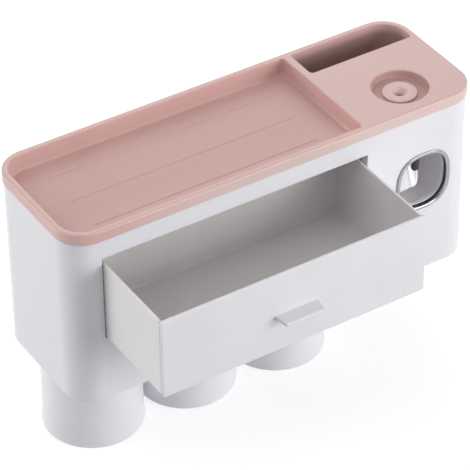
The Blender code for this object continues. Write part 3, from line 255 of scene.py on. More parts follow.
def node(tree, kind, inputs=(), **settings):
    """Adds one node with its settings; an input is a value, or another node's socket to link from."""
    made = tree.nodes.new(kind)
    for name, value in settings.items():
        setattr(made, name, value)
    for name, value in dict(inputs).items():
        if isinstance(value, bpy.types.NodeSocket):
            tree.links.new(value, made.inputs[name])
        else:
            made.inputs[name].default_value = value
    return made


print("mid grey is", round(linear("808080")[0], 3), "in linear light")

# %% A moulded finish
MOTTLE_FROM, MOTTLE_TO, MOTTLE_DETAIL, GRAIN_DETAIL = 0.3, 0.7, 3.0, 2.0
GRAIN_DEPTH_SHARE = 0.25


def moulded(name, shade, deep, grain_mm, bump, smoothest, roughest, mottle_mm=38.0, sockets=()):
    """A surface with a slow mottle between two shades, a fine grain, and roughness that drifts slowly."""
    finish = bpy.data.materials.new(name)
    finish.use_nodes = True
    tree = finish.node_tree
    shader = tree.nodes["Principled BSDF"]
    where = node(tree, "ShaderNodeTexCoord").outputs["Object"]
    slow, fine = (
        node(tree, "ShaderNodeTexNoise", {"Vector": where, "Scale": 1 / (size * MM), "Detail": detail})
        for size, detail in ((mottle_mm, MOTTLE_DETAIL), (grain_mm, GRAIN_DETAIL))
    )
    tone = node(tree, "ShaderNodeValToRGB", {"Fac": slow.outputs["Fac"]})
    tone.color_ramp.interpolation = "EASE"
    first, last = tone.color_ramp.elements
    first.position, first.color = MOTTLE_FROM, linear(deep)
    last.position, last.color = MOTTLE_TO, linear(shade)
    tree.links.new(tone.outputs["Color"], shader.inputs["Base Color"])
    drift = node(tree, "ShaderNodeMapRange", {
        "Value": slow.outputs["Fac"], "From Min": MOTTLE_FROM, "From Max": MOTTLE_TO,
        "To Min": smoothest, "To Max": roughest,
    }, interpolation_type="SMOOTHSTEP")
    tree.links.new(drift.outputs["Result"], shader.inputs["Roughness"])
    relief = node(tree, "ShaderNodeBump", {
        "Height": fine.outputs["Fac"], "Strength": bump, "Distance": grain_mm * MM * GRAIN_DEPTH_SHARE,
    })
    tree.links.new(relief.outputs["Normal"], shader.inputs["Normal"])
    for socket, value in dict(sockets).items():
        shader.inputs[socket].default_value = value
    finish.diffuse_color = linear(shade)
    return finish


# %% A finish that fades along an axis
# Here it paints light and shade into the lid's pinks: a pale band on the tray's floor, dusky pink down the slot,
# a sheen along the rim's side
def fading(finish, shade, axis, none, full):
    """Blends a finish's tone into another shade along an axis: none of it at one place, all at the other.

    The share is a smooth step between the two places, which are in millimetres from the lid's corner.
    """
    tree = finish.node_tree
    tone = tree.nodes["Principled BSDF"].inputs["Base Color"]
    corner = CORNER["XYZ".index(axis)]
    where = node(tree, "ShaderNodeTexCoord").outputs["Object"]
    place = node(tree, "ShaderNodeSeparateXYZ", {"Vector": where}).outputs[axis]
    share = node(tree, "ShaderNodeMapRange", {
        "Value": place, "From Min": corner + none * MM, "From Max": corner + full * MM,
    }, interpolation_type="SMOOTHSTEP")
    blend = node(tree, "ShaderNodeMixRGB", {
        "Fac": share.outputs["Result"], "Color1": tone.links[0].from_socket, "Color2": linear(shade),
    })
    tree.links.new(blend.outputs["Color"], tone)


# %% The pink finishes
ABS, POLYCARBONATE, SILICONE = {"IOR": 1.53}, {"IOR": 1.58}, {"IOR": 1.43}
PINK, PINK_DEEP = "DCB7B1", "D8B2AC"
# Grain in mm, bump, least and greatest roughness. Satin: a stoned mould, which leaves a soft sheen.
# Eroded: a spark-eroded mould's grain of about 0.1 mm, drawn at 0.8 mm so that it shows, and no sheen
SATIN, ERODED = (0.8, 0.06, 0.34, 0.42), (0.8, 0.14, 0.56, 0.66)
# The lid's rim and right end are satin
pink_abs = moulded("pink_abs_satin", PINK, PINK_DEEP, *SATIN, sockets=ABS)
# The tray's floor is eroded and a step deeper than the rim; its paling from 45 to 15 mm behind the lid's front
# is painted light, a band of light painted on the front of the floor
pink_tray_painted_light = moulded("pink_abs_spark_eroded_painted_light", "DAB4AD", "D6AFA8", *ERODED, sockets=ABS)
fading(pink_tray_painted_light, "E6BEB8", "Y", none=45.0, full=15.0)
# The deep slot is matt, and its dusky pink is painted shade, darker down in the slot where less light reaches:
# it begins
# 2 mm under the lid's top and is full at 9 mm
pink_slot_painted_shade = moulded("pink_abs_slot_painted_shade", "B59691", "B1928D", *ERODED, sockets=ABS)
fading(pink_slot_painted_shade, PINK, "Z", none=LID_EDGE - 9.0, full=LID_EDGE - 2.0)
# The rim's outer side is the rim's pink at the left end and pales over 80 mm towards the right: a painted sheen,
# the glossy side's reflection painted into its tone
pink_side_painted_sheen = moulded("pink_abs_rim_side_painted_sheen", PINK, PINK_DEEP, *SATIN, sockets=ABS)
fading(pink_side_painted_sheen, "DCC3BC", "X", none=30.0, full=110.0)
# The recess is matt too, and its darker pink, between the rim and the slot in tone, is painted shade on its
# walls and floor, so the pale seal stands out in it
pink_recess_painted_shade = moulded("pink_abs_recess_painted_shade", "C9A49D", "C49F98", *ERODED, sockets=ABS)
# Silicone of the seal: soft and powdery, paler than the lid
pink_silicone = moulded("pink_silicone", "EED0CA", "E9CAC4", 0.8, 0.10, 0.50, 0.60, sockets=SILICONE)
print("pink finishes:", len(bpy.data.materials))

# %% The white, clear and dark finishes
# White ABS from a polished mould: glossy, with the faint waviness of a large flat moulding
white_abs = moulded("white_abs_polished", "E9E9ED", "E6E6EA", 6.0, 0.05, 0.20, 0.26, 60.0, ABS)
# The drawer's front is satin white ABS, from a mould stoned to a fine grit, drawn at 0.7 mm
drawer_abs = moulded("white_abs_satin", "E4E3E6", "E1E0E3", 0.7, 0.08, 0.34, 0.42, sockets=ABS)
# The box behind it is another batch, a touch warmer, so its inside reads as a warm grey
box_abs = moulded("white_abs_satin_warm", "E6E3E2", "E3E0DF", 0.7, 0.08, 0.34, 0.42, sockets=ABS)
# The inner mouldings come from an unpolished mould: dull and a little grey, so they stay behind the shell
inner_abs = moulded("white_abs_inside", "DDDDE0", "D8D8DB", 0.9, 0.10, 0.40, 0.50, sockets=ABS)
# The liner round the lever is white ABS, satin, so the light that gets in spreads over it and reads as grey
liner_abs = moulded("white_abs_liner", "F9F6F9", "F5F2F5", 0.8, 0.10, 0.36, 0.46, sockets=ABS)
# Polypropylene of the cups: milky and waxy, with a wide, soft highlight
cup_pp = moulded("polypropylene_milky", "F0F0F5", "ECECF2", 3.0, 0.05, 0.28, 0.38, 45.0, {"IOR": 1.49})
# The lever is glossy white polycarbonate, smooth so that paste wipes off
lever_pc = moulded("polycarbonate_white", "F2F2F4", "EEEEF1", 4.0, 0.04, 0.10, 0.16, sockets=POLYCARBONATE)
# The wall plate is frosted polycarbonate: a cool grey that keeps a dull shine
clear_pc = moulded("polycarbonate_frosted", "D9DDDF", "D1D6D9", 0.9, 0.10, 0.29, 0.38, sockets=POLYCARBONATE)
# The pump's bulb is unpigmented silicone: a bluish grey, softly shining
clear_silicone = moulded("clear_silicone", "D5D9DB", "CDD2D5", 0.9, 0.10, 0.30, 0.42, sockets=SILICONE)
# The nozzle and the gasket are brown black rubber, which swallows light but for a dull edge
dark_rubber = moulded("dark_nozzle_rubber", "3A312B", "2F2823", 0.6, 0.20, 0.40, 0.52, sockets={"IOR": 1.50})
# The adhesive pad is closed cell foam: rough, with cells that mottle it
foam = moulded("closed_cell_foam", "CBCDCB", "B9BCBA", 0.5, 0.60, 0.75, 0.90, 8.0, {"IOR": 1.45})
print("finishes so far:", len(bpy.data.materials))

# %% The metals
METAL = {"Metallic": 1.0}
# Chrome on polished ABS: it mirrors the room, with the faint waves of the plastic under it
chrome = moulded("chrome_plated_abs", "AEAEB3", "A6A6AB", 5.0, 0.03, 0.05, 0.11, 12.0, METAL)
# Zinc plated screws, pin and spring: bluish, brushed dull by the barrel that they were plated in
steel = moulded("zinc_plated_steel", "BCBCC2", "A9A9B0", 0.5, 0.20, 0.29, 0.38, 4.0, METAL)
# Nickel on the magnets: warmer and smoother than zinc
nickel = moulded("nickel_plated_magnet", "B9B7B4", "A8A6A4", 0.6, 0.15, 0.18, 0.26, 5.0, METAL)
print("finishes:", len(bpy.data.materials))

# %% [markdown]
# ## The tray lid
# One pink moulding: a broad tray with three fine grooves in its floor, a deep slot at the back right and a
# round recess for the toothpaste tube. Underneath, its pan and pocket hang down into the housing.
# The lid is all walls and flats, so it is profiles carried round the tray, the slot, the recess and the rim.

# %% Outlines in the lid
# The rim's width, the lid's corner radius and its lips' radius; then the hollows' edges, floors and undersides
RIM, LID_RADIUS, LIP = 4.3, 21.5, 0.8
TRAY_RIGHT, TRAY_FLOOR, PAN_LOW = 226.5, -4.5, -6.1
SLOT_LEFT, SLOT_FRONT, SLOT_FLOOR, POCKET_LOW = 232.4, 74.5, -46.6, -48.2
RECESS_RADIUS, RECESS_FLOOR, DECK_LOW = 19.8, 2.8, 6.4
HOLLOW_LEFT, HOLLOW_BACK = 231.0, 71.1
TRAY_INNER_RADIUS, SLOT_RADIUS = 3.0, 2.5
SHELL = 1.4
NECK_RADIUS, SEAT_THICK = 9.0, 2.0
seal_low, seal_high = box_mm("inlet_seal")
INLET_X, INLET_Y = ((seal_low + seal_high) / 2)[:2]
TRAY = (RIM, TRAY_RIGHT, RIM, LID_DEPTH - RIM)
SLOT = (SLOT_LEFT, LID_WIDTH - RIM, SLOT_FRONT, LID_DEPTH - RIM)
HOLLOW = (HOLLOW_LEFT, LID_WIDTH - RIM, RIM, HOLLOW_BACK)


def plan(edges, radii):
    """The outline of a rounded rectangle as a function of its inset: edges move in, radii shrink alike."""
    x0, x1, y0, y1 = edges
    return lambda i: rounded(x0 + i, x1 - i, y0 + i, y1 - i, np.asarray(radii, float) - i)


lid_plan = plan((0, LID_WIDTH, 0, LID_DEPTH), [LID_RADIUS] * 4)
INNER_RADIUS = LID_RADIUS - RIM
tray_plan = plan(TRAY, [INNER_RADIUS, TRAY_INNER_RADIUS, TRAY_INNER_RADIUS, INNER_RADIUS])
slot_plan = plan(SLOT, [SLOT_RADIUS, SLOT_RADIUS, INNER_RADIUS, SLOT_RADIUS])
hollow_plan = plan(HOLLOW, [SHELL, INNER_RADIUS, SHELL, SHELL])


def recess_plan(inset):
    """The round recess: a circle about the inlet's axis."""
    return around(INLET_X, INLET_Y, RECESS_RADIUS - inset)


print("inlet at, mm:", round(INLET_X, 1), round(INLET_Y, 1))

# %% The lid's top
lid = Moulding()
LOW_ROUND, TOP_ROUND = 0.4, 1.3
TRAY_FILLET, SLOT_FILLET, RECESS_FILLET = 2.0, 1.5, 1.2


def hole(plan_of, floor, fillet):
    """A sunk wall: a flat strip and a rounded lip at the lid's top, the wall, and a fillet to its floor."""
    return lid.wall(plan_of, np.vstack([
        [(-LIP - FLAT, LID_EDGE)],
        quarter(-LIP, LID_EDGE - LIP, LIP, 90),
        quarter(fillet, floor + fillet, fillet, 180, 90),
        [(fillet + FLAT, floor)],
    ]))


edge = lid.wall(lid_plan, np.vstack([
    quarter(LOW_ROUND, LOW_ROUND, LOW_ROUND, 270),
    quarter(TOP_ROUND, LID_EDGE - TOP_ROUND, TOP_ROUND, 180),
    [(TOP_ROUND + FLAT, LID_EDGE)],
]))
tray = hole(tray_plan, TRAY_FLOOR, TRAY_FILLET)
slot = hole(slot_plan, SLOT_FLOOR, SLOT_FILLET)
recess = hole(recess_plan, RECESS_FLOOR, RECESS_FILLET)
lid.cap(edge[-1], tray[0], slot[0], recess[0])
lid.cap(slot[-1])
print("the lid's top:", lid.count, "points")

# %% The grooves in the tray
# A groove is 0.4 mm deep with sloping sides: its profile's points are insets and depths under the tray's floor
GROOVE_LEFT, GROOVE_RIGHT, GROOVE_HALF, GROOVE_YS = 30.0, 203.5, 0.7, (22.6, 52.5, 82.4)
GROOVE = [(-0.2, 0), (0.0, 0.06), (0.35, 0.35), (0.5, 0.4)]
grooves = []
for y in GROOVE_YS:
    groove_plan = plan((GROOVE_LEFT, GROOVE_RIGHT, y - GROOVE_HALF, y + GROOVE_HALF), [GROOVE_HALF] * 4)
    grooves.append(lid.wall(groove_plan, [(inset, TRAY_FLOOR - depth) for inset, depth in GROOVE]))
    lid.cap(grooves[-1][-1])
lid.cap(tray[-1], *[groove[0] for groove in grooves])
print("grooves:", len(grooves))

# %% The lid's underside
PAN_ROUND = 1.0


def boss(plan_of, low):
    """The outside of a pan that hangs under the lid, with a rounded lower edge."""
    return lid.wall(plan_of, np.vstack([
        [(-SHELL, 0)],
        quarter(PAN_ROUND - SHELL, low + PAN_ROUND, PAN_ROUND, 180, 90),
        [(PAN_ROUND - SHELL + FLAT, low)],
    ]))


pan = boss(tray_plan, PAN_LOW)
pocket = boss(slot_plan, POCKET_LOW)
lid.cap(pan[-1])
lid.cap(pocket[-1])
# The hollow under the right end, and the seat that holds the seal by its neck
seat_low = RECESS_FLOOR - SEAT_THICK
hollow = lid.wall(hollow_plan, [(0, 0), (0, DECK_LOW)])
lid.cap(edge[0], pan[0], pocket[0], hollow[0])
cone = lid.wall(recess_plan, [(-SHELL, DECK_LOW), (-SHELL, seat_low)])
lid.cap(hollow[-1], cone[0])
neck = lid.turned([(NECK_RADIUS, seat_low), (NECK_RADIUS, RECESS_FLOOR)], INLET_X, INLET_Y)
lid.grid([cone[-1], neck[0]])
lid.grid([recess[-1], neck[-1]])
made = piece("tray_lid_moulding", lid, pink_abs, "lid", "tray_lid", "slot_pocket", "inlet_deck", "inlet_cup")

# %% The lid's other finishes
# A face takes its finish from where its middle lies; the rim's side is also upright and looks outwards
NEAR, UPRIGHT = 0.2, 0.3
# Of these, the tray's pale front band is painted light, the slot's and the recess's dusky pinks are painted
# shade, and the rim side's paling is a painted sheen
for finish in (pink_tray_painted_light, pink_slot_painted_shade, pink_recess_painted_shade, pink_side_painted_sheen):
    made.data.materials.append(finish)
centres, normals = (np.empty(len(made.data.polygons) * 3, np.float32) for _ in range(2))
made.data.polygons.foreach_get("center", centres)
made.data.polygons.foreach_get("normal", normals)
x, y, z = ((centres.reshape(-1, 3) - CORNER) / MM).T
side_x, side_y, side_z = normals.reshape(-1, 3).T
under_lip = z < LID_EDGE - LIP
in_tray = (x < TRAY[1]) & (z < TRAY_FLOOR + TRAY_FILLET)
in_slot = under_lip & (x > SLOT[0] - NEAR) & (x < SLOT[1] + NEAR)
in_slot &= (y > SLOT[2] - NEAR) & (y < SLOT[3] + NEAR)
from_inlet = np.hypot(x - INLET_X, y - INLET_Y)
in_recess = under_lip & (z > RECESS_FLOOR - NEAR) & (from_inlet < RECESS_RADIUS + NEAR)
outwards = side_x * (x - LID_WIDTH / 2) + side_y * (y - LID_DEPTH / 2) > 0
on_side = (np.abs(side_z) < UPRIGHT) & outwards & (z > 0) & ~(in_tray | in_slot | in_recess)
finish_index = in_tray + 2 * in_slot + 3 * in_recess + 4 * on_side
made.data.polygons.foreach_set("material_index", finish_index.astype(np.int32))
print("faces in the tray, the slot and the recess, and on the rim's side:",
      [int(each.sum()) for each in (in_tray, in_slot, in_recess, on_side)])

# %% [markdown]
# ## The inlet's silicone seal
# A soft disc is pressed into the recess. A toothpaste tube's neck pushes through its funnel. It is a turned
# piece: a smooth curve through its profile's corner points is turned about the inlet's axis.

# %% The seal's profile
def soft_path(points, steps=5):
    """A Catmull-Rom curve through points: each span blends the lines through its four nearest points."""
    p = np.asarray(points, float)
    p = np.vstack([2 * p[0] - p[1], p, 2 * p[-1] - p[-2]])
    t = np.linspace(0, 1, steps, endpoint=False)[:, None]
    a, b, c, d = (p[k:len(p) - 3 + k, None] for k in range(4))
    bend, twist = 2 * a - 5 * b + 4 * c - d, 3 * b - a - 3 * c + d
    spans = (2 * b + (c - a) * t + bend * t ** 2 + twist * t ** 3) / 2
    return np.vstack([spans.reshape(-1, p.shape[1]), p[-2]])


seal = Moulding()
# Radii and heights, from the disc's edge over its swell down the funnel, and then round the neck with its barb
SEAL_TOP = [
    (12.1, 3.1), (12.1, 3.6), (11.7, 4.05), (10.6, 4.15), (9.2, 4.45), (7.8, 4.72), (6.4, 4.5),
    (5.2, 3.9), (4.0, 2.2), (3.2, 0.8), (3.0, 0.3),
]
SEAL_NECK = [(3.0, -1.7), (8.7, -1.7), (8.7, -0.7), (9.8, -0.1), (9.8, 0.5), (8.7, 0.5), (8.7, 3.1)]
seal.turned(np.vstack([soft_path(SEAL_TOP), SEAL_NECK]), INLET_X, INLET_Y, closed=True)
piece("inlet_seal_moulding", seal, pink_silicone, "lid", "inlet_seal")

# %% [markdown]
# ## The housing
# The white box is a tube with thin walls. Its flat front has the drawer's opening and the window, and its back
# has a recess for the wall plate. Round corners are carried profiles; the flat front and back are filled
# between the corners and the holes.

# %% The housing's sizes
HOUSING_INSET, WALL = 0.8, 1.8
HOUSING = (HOUSING_INSET, LID_WIDTH - HOUSING_INSET, HOUSING_INSET, LID_DEPTH - HOUSING_INSET)
HOUSING_LOW, HOUSING_HIGH = -131.6, -0.3
OPENING = (23.4, 229.0, -80.5, -14.5)
bezel_low, bezel_high = box_mm("window_bezel")
WINDOW_X, WINDOW_Z = ((bezel_low + bezel_high) / 2)[[0, 2]]
WINDOW_HALF = ((bezel_high - bezel_low) / 2)[[0, 2]]
WINDOW_POWER = 2.6
housing = Moulding()
housing_plan = plan(HOUSING, [LID_RADIUS - HOUSING_INSET] * 4)


def window_plan(inset):
    """The window's superellipse: each half width times the cosine or sine to the power of 2 over its own."""
    turn = around(0, 0, 1, WINDOW_STEPS)
    return (WINDOW_X, WINDOW_Z) + (WINDOW_HALF - inset) * np.sign(turn) * np.abs(turn) ** (2 / WINDOW_POWER)


print("window, mm:", *(2 * WINDOW_HALF).round(1), "at", round(WINDOW_X, 1), round(WINDOW_Z, 1))

# %% The housing's walls
FOOT_ROUND, TOP_EDGE, TALL = 0.6, 0.3, 50.0
CORNER_POINTS = CORNER_STEPS + 1
foot, rim_low = HOUSING_LOW + FOOT_ROUND, HOUSING_HIGH - TOP_EDGE
shell_profile = np.vstack([
    [(WALL, rim_low), (WALL, foot)],
    quarter(WALL - FOOT_ROUND, foot, FOOT_ROUND, 0),
    quarter(FOOT_ROUND, foot, FOOT_ROUND, 270),
    [(0, rim_low)],
    quarter(TOP_EDGE, rim_low, TOP_EDGE, 180),
    quarter(WALL - TOP_EDGE, rim_low, TOP_EDGE, 90),
])
rings = np.empty((len(shell_profile), 4 * CORNER_POINTS, 3))
rings[..., :2] = [housing_plan(inset) for inset, _ in shell_profile]
rings[..., 2] = shell_profile[:, 1, None]
# The profile's two tall steps are the inner wall and then the outer one. There only the rounded corners are
# quads. The flat front runs from the first corner's last point to the second corner's first, and the flat back
# from the third corner to the fourth
flats = []
for pair in zip(rings[:-1], rings[1:]):
    pair = np.stack(pair)
    if abs(pair[0, 0, 2] - pair[1, 0, 2]) < TALL:
        housing.grid(pair)
        continue
    for first in (CORNER_POINTS, 3 * CORNER_POINTS):
        housing.grid(np.roll(pair, -first, axis=1)[:, :2 * CORNER_POINTS], closed=False)
        a, b = pair[:, [first - 1, first]]
        flats.append(np.stack([a[0], a[1], b[1], b[0]]))
inner_front, inner_back, outer_front, outer_back = flats
print("the housing's walls:", housing.count, "points")

# %% The drawer's opening and the window
HOLE_ROUND, OPENING_RADIUS, WINDOW_INSET = 0.35, 0.8, 1.2
front_y, inner_y = HOUSING[2], HOUSING[2] + WALL
# Both holes have a rounded edge at the front, and then go straight through the wall
through = np.vstack([
    [(-HOLE_ROUND - FLAT, front_y)],
    quarter(-HOLE_ROUND, front_y + HOLE_ROUND, HOLE_ROUND, 270, 90, steps=3),
    [(0, inner_y)],
])
opening = housing.wall(plan(OPENING, [OPENING_RADIUS] * 4), through, "xz")
window = housing.wall(lambda inset: window_plan(WINDOW_INSET + inset), through, "xz")
housing.cap(outer_front, opening[0], window[0], plane="xz")
housing.cap(inner_front, opening[-1], window[-1], plane="xz")
print("with the front's holes:", housing.count, "points")

# %% The back recess with its two hook slots
BACK_RECESS, BACK_PAN = (48.0, 272.0, -127.4, -88.4), (46.4, 273.6, -129.0, -86.8)
RECESS_Y, PAN_Y, BACK_RADIUS = 101.6, 100.0, 1.0
HOOK_XS, HOOK_HALF, HOOK_LOW, HOOK_HIGH, HOOK_RADIUS = (105.0, 215.0), 9.4, -113.1, -103.7, 0.4
hook_plans = [plan((x - HOOK_HALF, x + HOOK_HALF, HOOK_LOW, HOOK_HIGH), [HOOK_RADIUS] * 4) for x in HOOK_XS]
back_y = HOUSING[3]
back_hole = housing.wall(plan(BACK_RECESS, [BACK_RADIUS] * 4), [(0, back_y), (0, RECESS_Y)], "xz")
pan_side = housing.wall(plan(BACK_PAN, [BACK_RADIUS] * 4), [(0, back_y - WALL), (0, PAN_Y)], "xz")
hook_walls = [housing.wall(each, [(0, RECESS_Y), (0, PAN_Y)], "xz") for each in hook_plans]
housing.cap(outer_back, back_hole[0], plane="xz")
housing.cap(inner_back, pan_side[0], plane="xz")
housing.cap(back_hole[-1], *[wall[0] for wall in hook_walls], plane="xz")
housing.cap(pan_side[-1], *[wall[-1] for wall in hook_walls], plane="xz")
print("hook slots:", len(hook_walls))

# %% The screw bosses inside
BOSS, BOSS_BORE, BOSS_HIGH, BOSS_GAP = 3.2, 1.45, 10.0, 0.3
deck_boss_foot = box_mm("drawer_deck")[0][2] - BOSS_GAP - BOSS_HIGH
cover_boss_foot = box_mm("bottom_cover")[1][2] + BOSS_GAP
screws = [name for name in sorted(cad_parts) if name.startswith(("deck_screw", "cover_screw"))]
for name in screws:
    low = deck_boss_foot if name.startswith("deck") else cover_boss_foot
    high = low + BOSS_HIGH
    x, y = (sum(box_mm(name)) / 2)[:2]
    housing.turned([(BOSS_BORE, low), (BOSS, low), (BOSS, high), (BOSS_BORE, high)], x, y, closed=True)
print("screw bosses:", len(screws))
piece("housing_moulding", housing, white_abs, "housing", "housing_shell")

# %% [markdown]
# ## The window's chrome bezel
# A plated ring is pushed into the housing's face. Its section is a flange that flares inwards, and the flare is
# what throws the thin bright line inside the ring. A dark rubber gasket lies behind it, and a white lip behind
# that leads to the liner. All three sections are carried round the window's superellipse.

# %% The bezel
FLANGE_Y, BAND, FLARE, EDGE, BAND_FLAT = bezel_low[1], 2.8, 1.1, 0.4, 0.3
FLANGE_THICK, SLEEVE_INSET, CHAMFER, TOUCH = 0.9, 1.5, 0.1, 0.05
CHROME_END = FLANGE_Y + FLARE + BAND_FLAT
bezel = Moulding()
section = np.vstack([
    [(TOUCH, FLANGE_Y + FLANGE_THICK)],
    quarter(EDGE, FLANGE_Y + EDGE, EDGE, 180, 90, steps=4),
    quarter(BAND - FLARE, FLANGE_Y + FLARE, FLARE, 270, 90, steps=8),
    [(BAND, CHROME_END - CHAMFER), (BAND - CHAMFER, CHROME_END)],
    [(SLEEVE_INSET + CHAMFER, CHROME_END), (SLEEVE_INSET, CHROME_END - CHAMFER)],
    [(SLEEVE_INSET, FLANGE_Y + FLANGE_THICK)],
])
bezel.wall(window_plan, np.vstack([section, section[:1]]), "xz")
piece("bezel_ring", bezel, chrome, "housing", "window_bezel")

# %% The gasket and the lip behind the ring
def ring_behind(name, front, back, inner, edge, finish):
    """A ring from one depth to another, with quarter circles on its two inner edges."""
    ring = Moulding()
    section = np.vstack([
        [(SLEEVE_INSET, front)],
        quarter(inner - edge, front + edge, edge, 270, 90),
        quarter(inner - edge, back - edge, edge, 0, 90),
        [(SLEEVE_INSET, back)],
    ])
    ring.wall(window_plan, np.vstack([section, section[:1]]), "xz")
    piece(name, ring, finish, "housing")


GASKET_DEEP, GASKET_ROUND, LIP_STEP, LIP_ROUND = 2.5, 0.3, 0.3, 0.5
GASKET_END = CHROME_END + GASKET_DEEP
ring_behind("window_gasket", CHROME_END + TOUCH, GASKET_END, BAND, GASKET_ROUND, dark_rubber)
ring_behind("window_lip", GASKET_END + TOUCH, bezel_high[1], BAND + LIP_STEP, LIP_ROUND, white_abs)

# %% [markdown]
# ## The push lever
# A toothbrush head is pushed against the lever's gutter, and the yoke at the top squeezes the pump. The real
# one is a thin moulding with rounded edges and a fine rib down its face, so its gutter is a grid: arcs across,
# from the hub down to the tip, each with a front row and a back row of points.

# %% The gutter's sizes
pin_low, pin_high = box_mm("lever_pin")
PIN_X, PIN_Y, PIN_Z = (pin_low + pin_high) / 2
GUTTER_RADIUS, GUTTER_THICK, GUTTER_LENGTH, GUTTER_TILT = 11.0, 1.8, 31.5, math.radians(24)
ACROSS_STEPS, DOWN_STEPS = 48, 40
# The left side reaches further round than the right and is stretched, and its lower corner is lifted
LEFT_ANGLE, LEFT_STRETCH, LEFT_LIFT = 56.0, 1.35, 0.11
# The right side's angle narrows like a leaf's from half way down, to its least share at the tip
RIGHT_ANGLE, LEAF_FROM, LEAF_LEAST = 30.0, 0.5, 0.12
CREASE_ANGLE, CREASE_WIDTH, CREASE_DEEP = -9.0, 2.6, 0.9
# Under the hub the crease comes in over a sixth of the length, and the stretch over a third
CREASE_RATE, STRETCH_RATE = 6, 3
EDGE_POWER, TIP_POWER, TIP_LEAST = 8, 30, 0.02
print("lever's pin at, mm:", round(PIN_X, 1), round(PIN_Y, 1), round(PIN_Z, 1))

# %% The lever's gutter
def gutter_rows():
    """Arcs about an upright line: x is the radius times the sine of the angle, y follows its cosine.

    The left side's length falls by a share that grows as the square of the way out. The right side's angle
    falls as a quarter of an ellipse. The crease is a bell curve across. The thickness falls to nothing at the
    edges as the square root of one less a high power of the way there.
    """
    down = np.linspace(0, 1, DOWN_STEPS + 1)[:, None]
    share = np.linspace(-1, 1, ACROSS_STEPS + 1)[None, :]
    tip = np.clip((down - LEAF_FROM) / (1 - LEAF_FROM), 0, 1)
    leaf = RIGHT_ANGLE * (LEAF_LEAST + (1 - LEAF_LEAST) * np.sqrt(1 - tip ** 2))
    angle = np.radians(share * np.where(share < 0, LEFT_ANGLE, leaf))
    bell = np.exp(-((np.degrees(angle) - CREASE_ANGLE) / CREASE_WIDTH) ** 2)
    crease = CREASE_DEEP * np.clip(CREASE_RATE * down, 0, 1) * bell
    edge = np.sqrt(1 - share ** EDGE_POWER) * np.sqrt(np.clip(1 - down ** TIP_POWER, TIP_LEAST, 1))
    stretch = np.where(share < 0, 1 + (LEFT_STRETCH - 1) * np.clip(STRETCH_RATE * down, 0, 1), 1.0)
    along = down * GUTTER_LENGTH * (1 - LEFT_LIFT * np.minimum(share, 0) ** 2)
    middle = GUTTER_RADIUS + GUTTER_THICK / 2
    rows = []
    for side, order in ((-1, 1), (1, -1)):
        radius = middle + side * edge * GUTTER_THICK / 2 + crease
        x = PIN_X + radius * np.sin(angle) * stretch
        y = PIN_Y - along * math.sin(GUTTER_TILT) + radius * np.cos(angle) - GUTTER_RADIUS
        z = PIN_Z - along * math.cos(GUTTER_TILT)
        rows.append(np.stack([x, y, z], -1)[:, ::order])
    return np.concatenate(rows, axis=1)


lever = Moulding()
gutter = lever.grid(gutter_rows())
for end in (0, -1):
    front, back = gutter[end].reshape(2, -1, 3)
    lever.grid([front, back[::-1]], closed=False)
print("gutter:", gutter.shape[0], "rows of", gutter.shape[1], "points")

# %% The lever's hub and yoke
HUB_HALF, HUB, BORE, HUB_EDGE = 10.8, 3.0, 1.8, 0.3
hub_left, hub_right = PIN_X - HUB_HALF, PIN_X + HUB_HALF
lever.wall(lambda inset: around(PIN_Y, PIN_Z, HUB - inset), [
    (HUB - BORE, hub_left), (HUB_EDGE, hub_left), (0, hub_left + HUB_EDGE), (0, hub_right - HUB_EDGE),
    (HUB_EDGE, hub_right), (HUB - BORE, hub_right), (HUB - BORE, hub_left),
], "yz")
bulb_low, bulb_high = box_mm("pump_bulb")
YOKE_GAP, ARM_HALF, ARM_RISE, ARM_THICK = 0.3, 2.0, 1.0, 2.5
BAR_THICK, BAR_HIGH, BAR_INSET, BAR_RADIUS = 2.5, 4.5, 1.2, 0.5
bar_front, bar_top = bulb_high[1] + YOKE_GAP, box_mm("push_lever")[1][2]
bar_back, bar_foot = bar_front + BAR_THICK, bar_top - BAR_HIGH
arm_outline = np.array([
    (PIN_Y - ARM_HALF, PIN_Z + ARM_RISE), (PIN_Y + ARM_HALF, PIN_Z), (bar_back, bar_foot), (bar_back, bar_top),
    (bar_front, bar_top),
])
for left in (hub_left, hub_right - ARM_THICK):
    arm = lever.wall(lambda inset: arm_outline, [(0, left), (0, left + ARM_THICK)], "yz")
    lever.cap(arm[0], plane="yz")
    lever.cap(arm[-1], plane="yz")
bar_plan = plan((hub_left + BAR_INSET, hub_right - BAR_INSET, bar_front, bar_back), [BAR_RADIUS] * 4)
bar = lever.wall(bar_plan, [(0, bar_foot), (0, bar_top)])
lever.cap(bar[0])
lever.cap(bar[-1])
piece("lever_moulding", lever, lever_pc, "lever", "push_lever")

# %% [markdown]
# ## The pump's bulb
# A thin silicone bulb between the throat and the channel head: necks at its ends and a round belly, turned
# about the inlet's line. The lever's yoke flattens it from behind; here it is drawn round, as at rest.

# %% The squeeze bulb
BULB_WALL, BULB_NECK, BELLY_POWER, PRESS_GAP = 1.0, 4.6, 0.4, 0.1
bulb_x, bulb_y, bulb_middle = (bulb_low + bulb_high) / 2
belly, half_high = (bulb_high[0] - bulb_low[0]) / 2, (bulb_high[2] - bulb_low[2]) / 2


def bulb_side(thinner, steps=24):
    """From the lower neck over the belly to the upper: the radius follows a power of a raised cosine."""
    share = np.linspace(-1, 1, steps + 1)
    swell = (0.5 + 0.5 * np.cos(np.pi * share)) ** BELLY_POWER
    return np.stack([BULB_NECK + (belly - BULB_NECK) * swell - thinner, bulb_middle + share * half_high], -1)


bulb = Moulding()
bulb.turned(np.vstack([bulb_side(0), bulb_side(BULB_WALL)[::-1]]), bulb_x, bulb_y, closed=True)
squeezed = piece("squeeze_bulb", bulb, clear_silicone, "housing", "pump_bulb")
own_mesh(squeezed)

# %% [markdown]
# ## The drawer
# The photograph shows it pulled out. It is two mouldings: a box of three walls and a floor on low skids, and
# a front panel with a pull ledge. The box's wall section is carried along a U in plan.

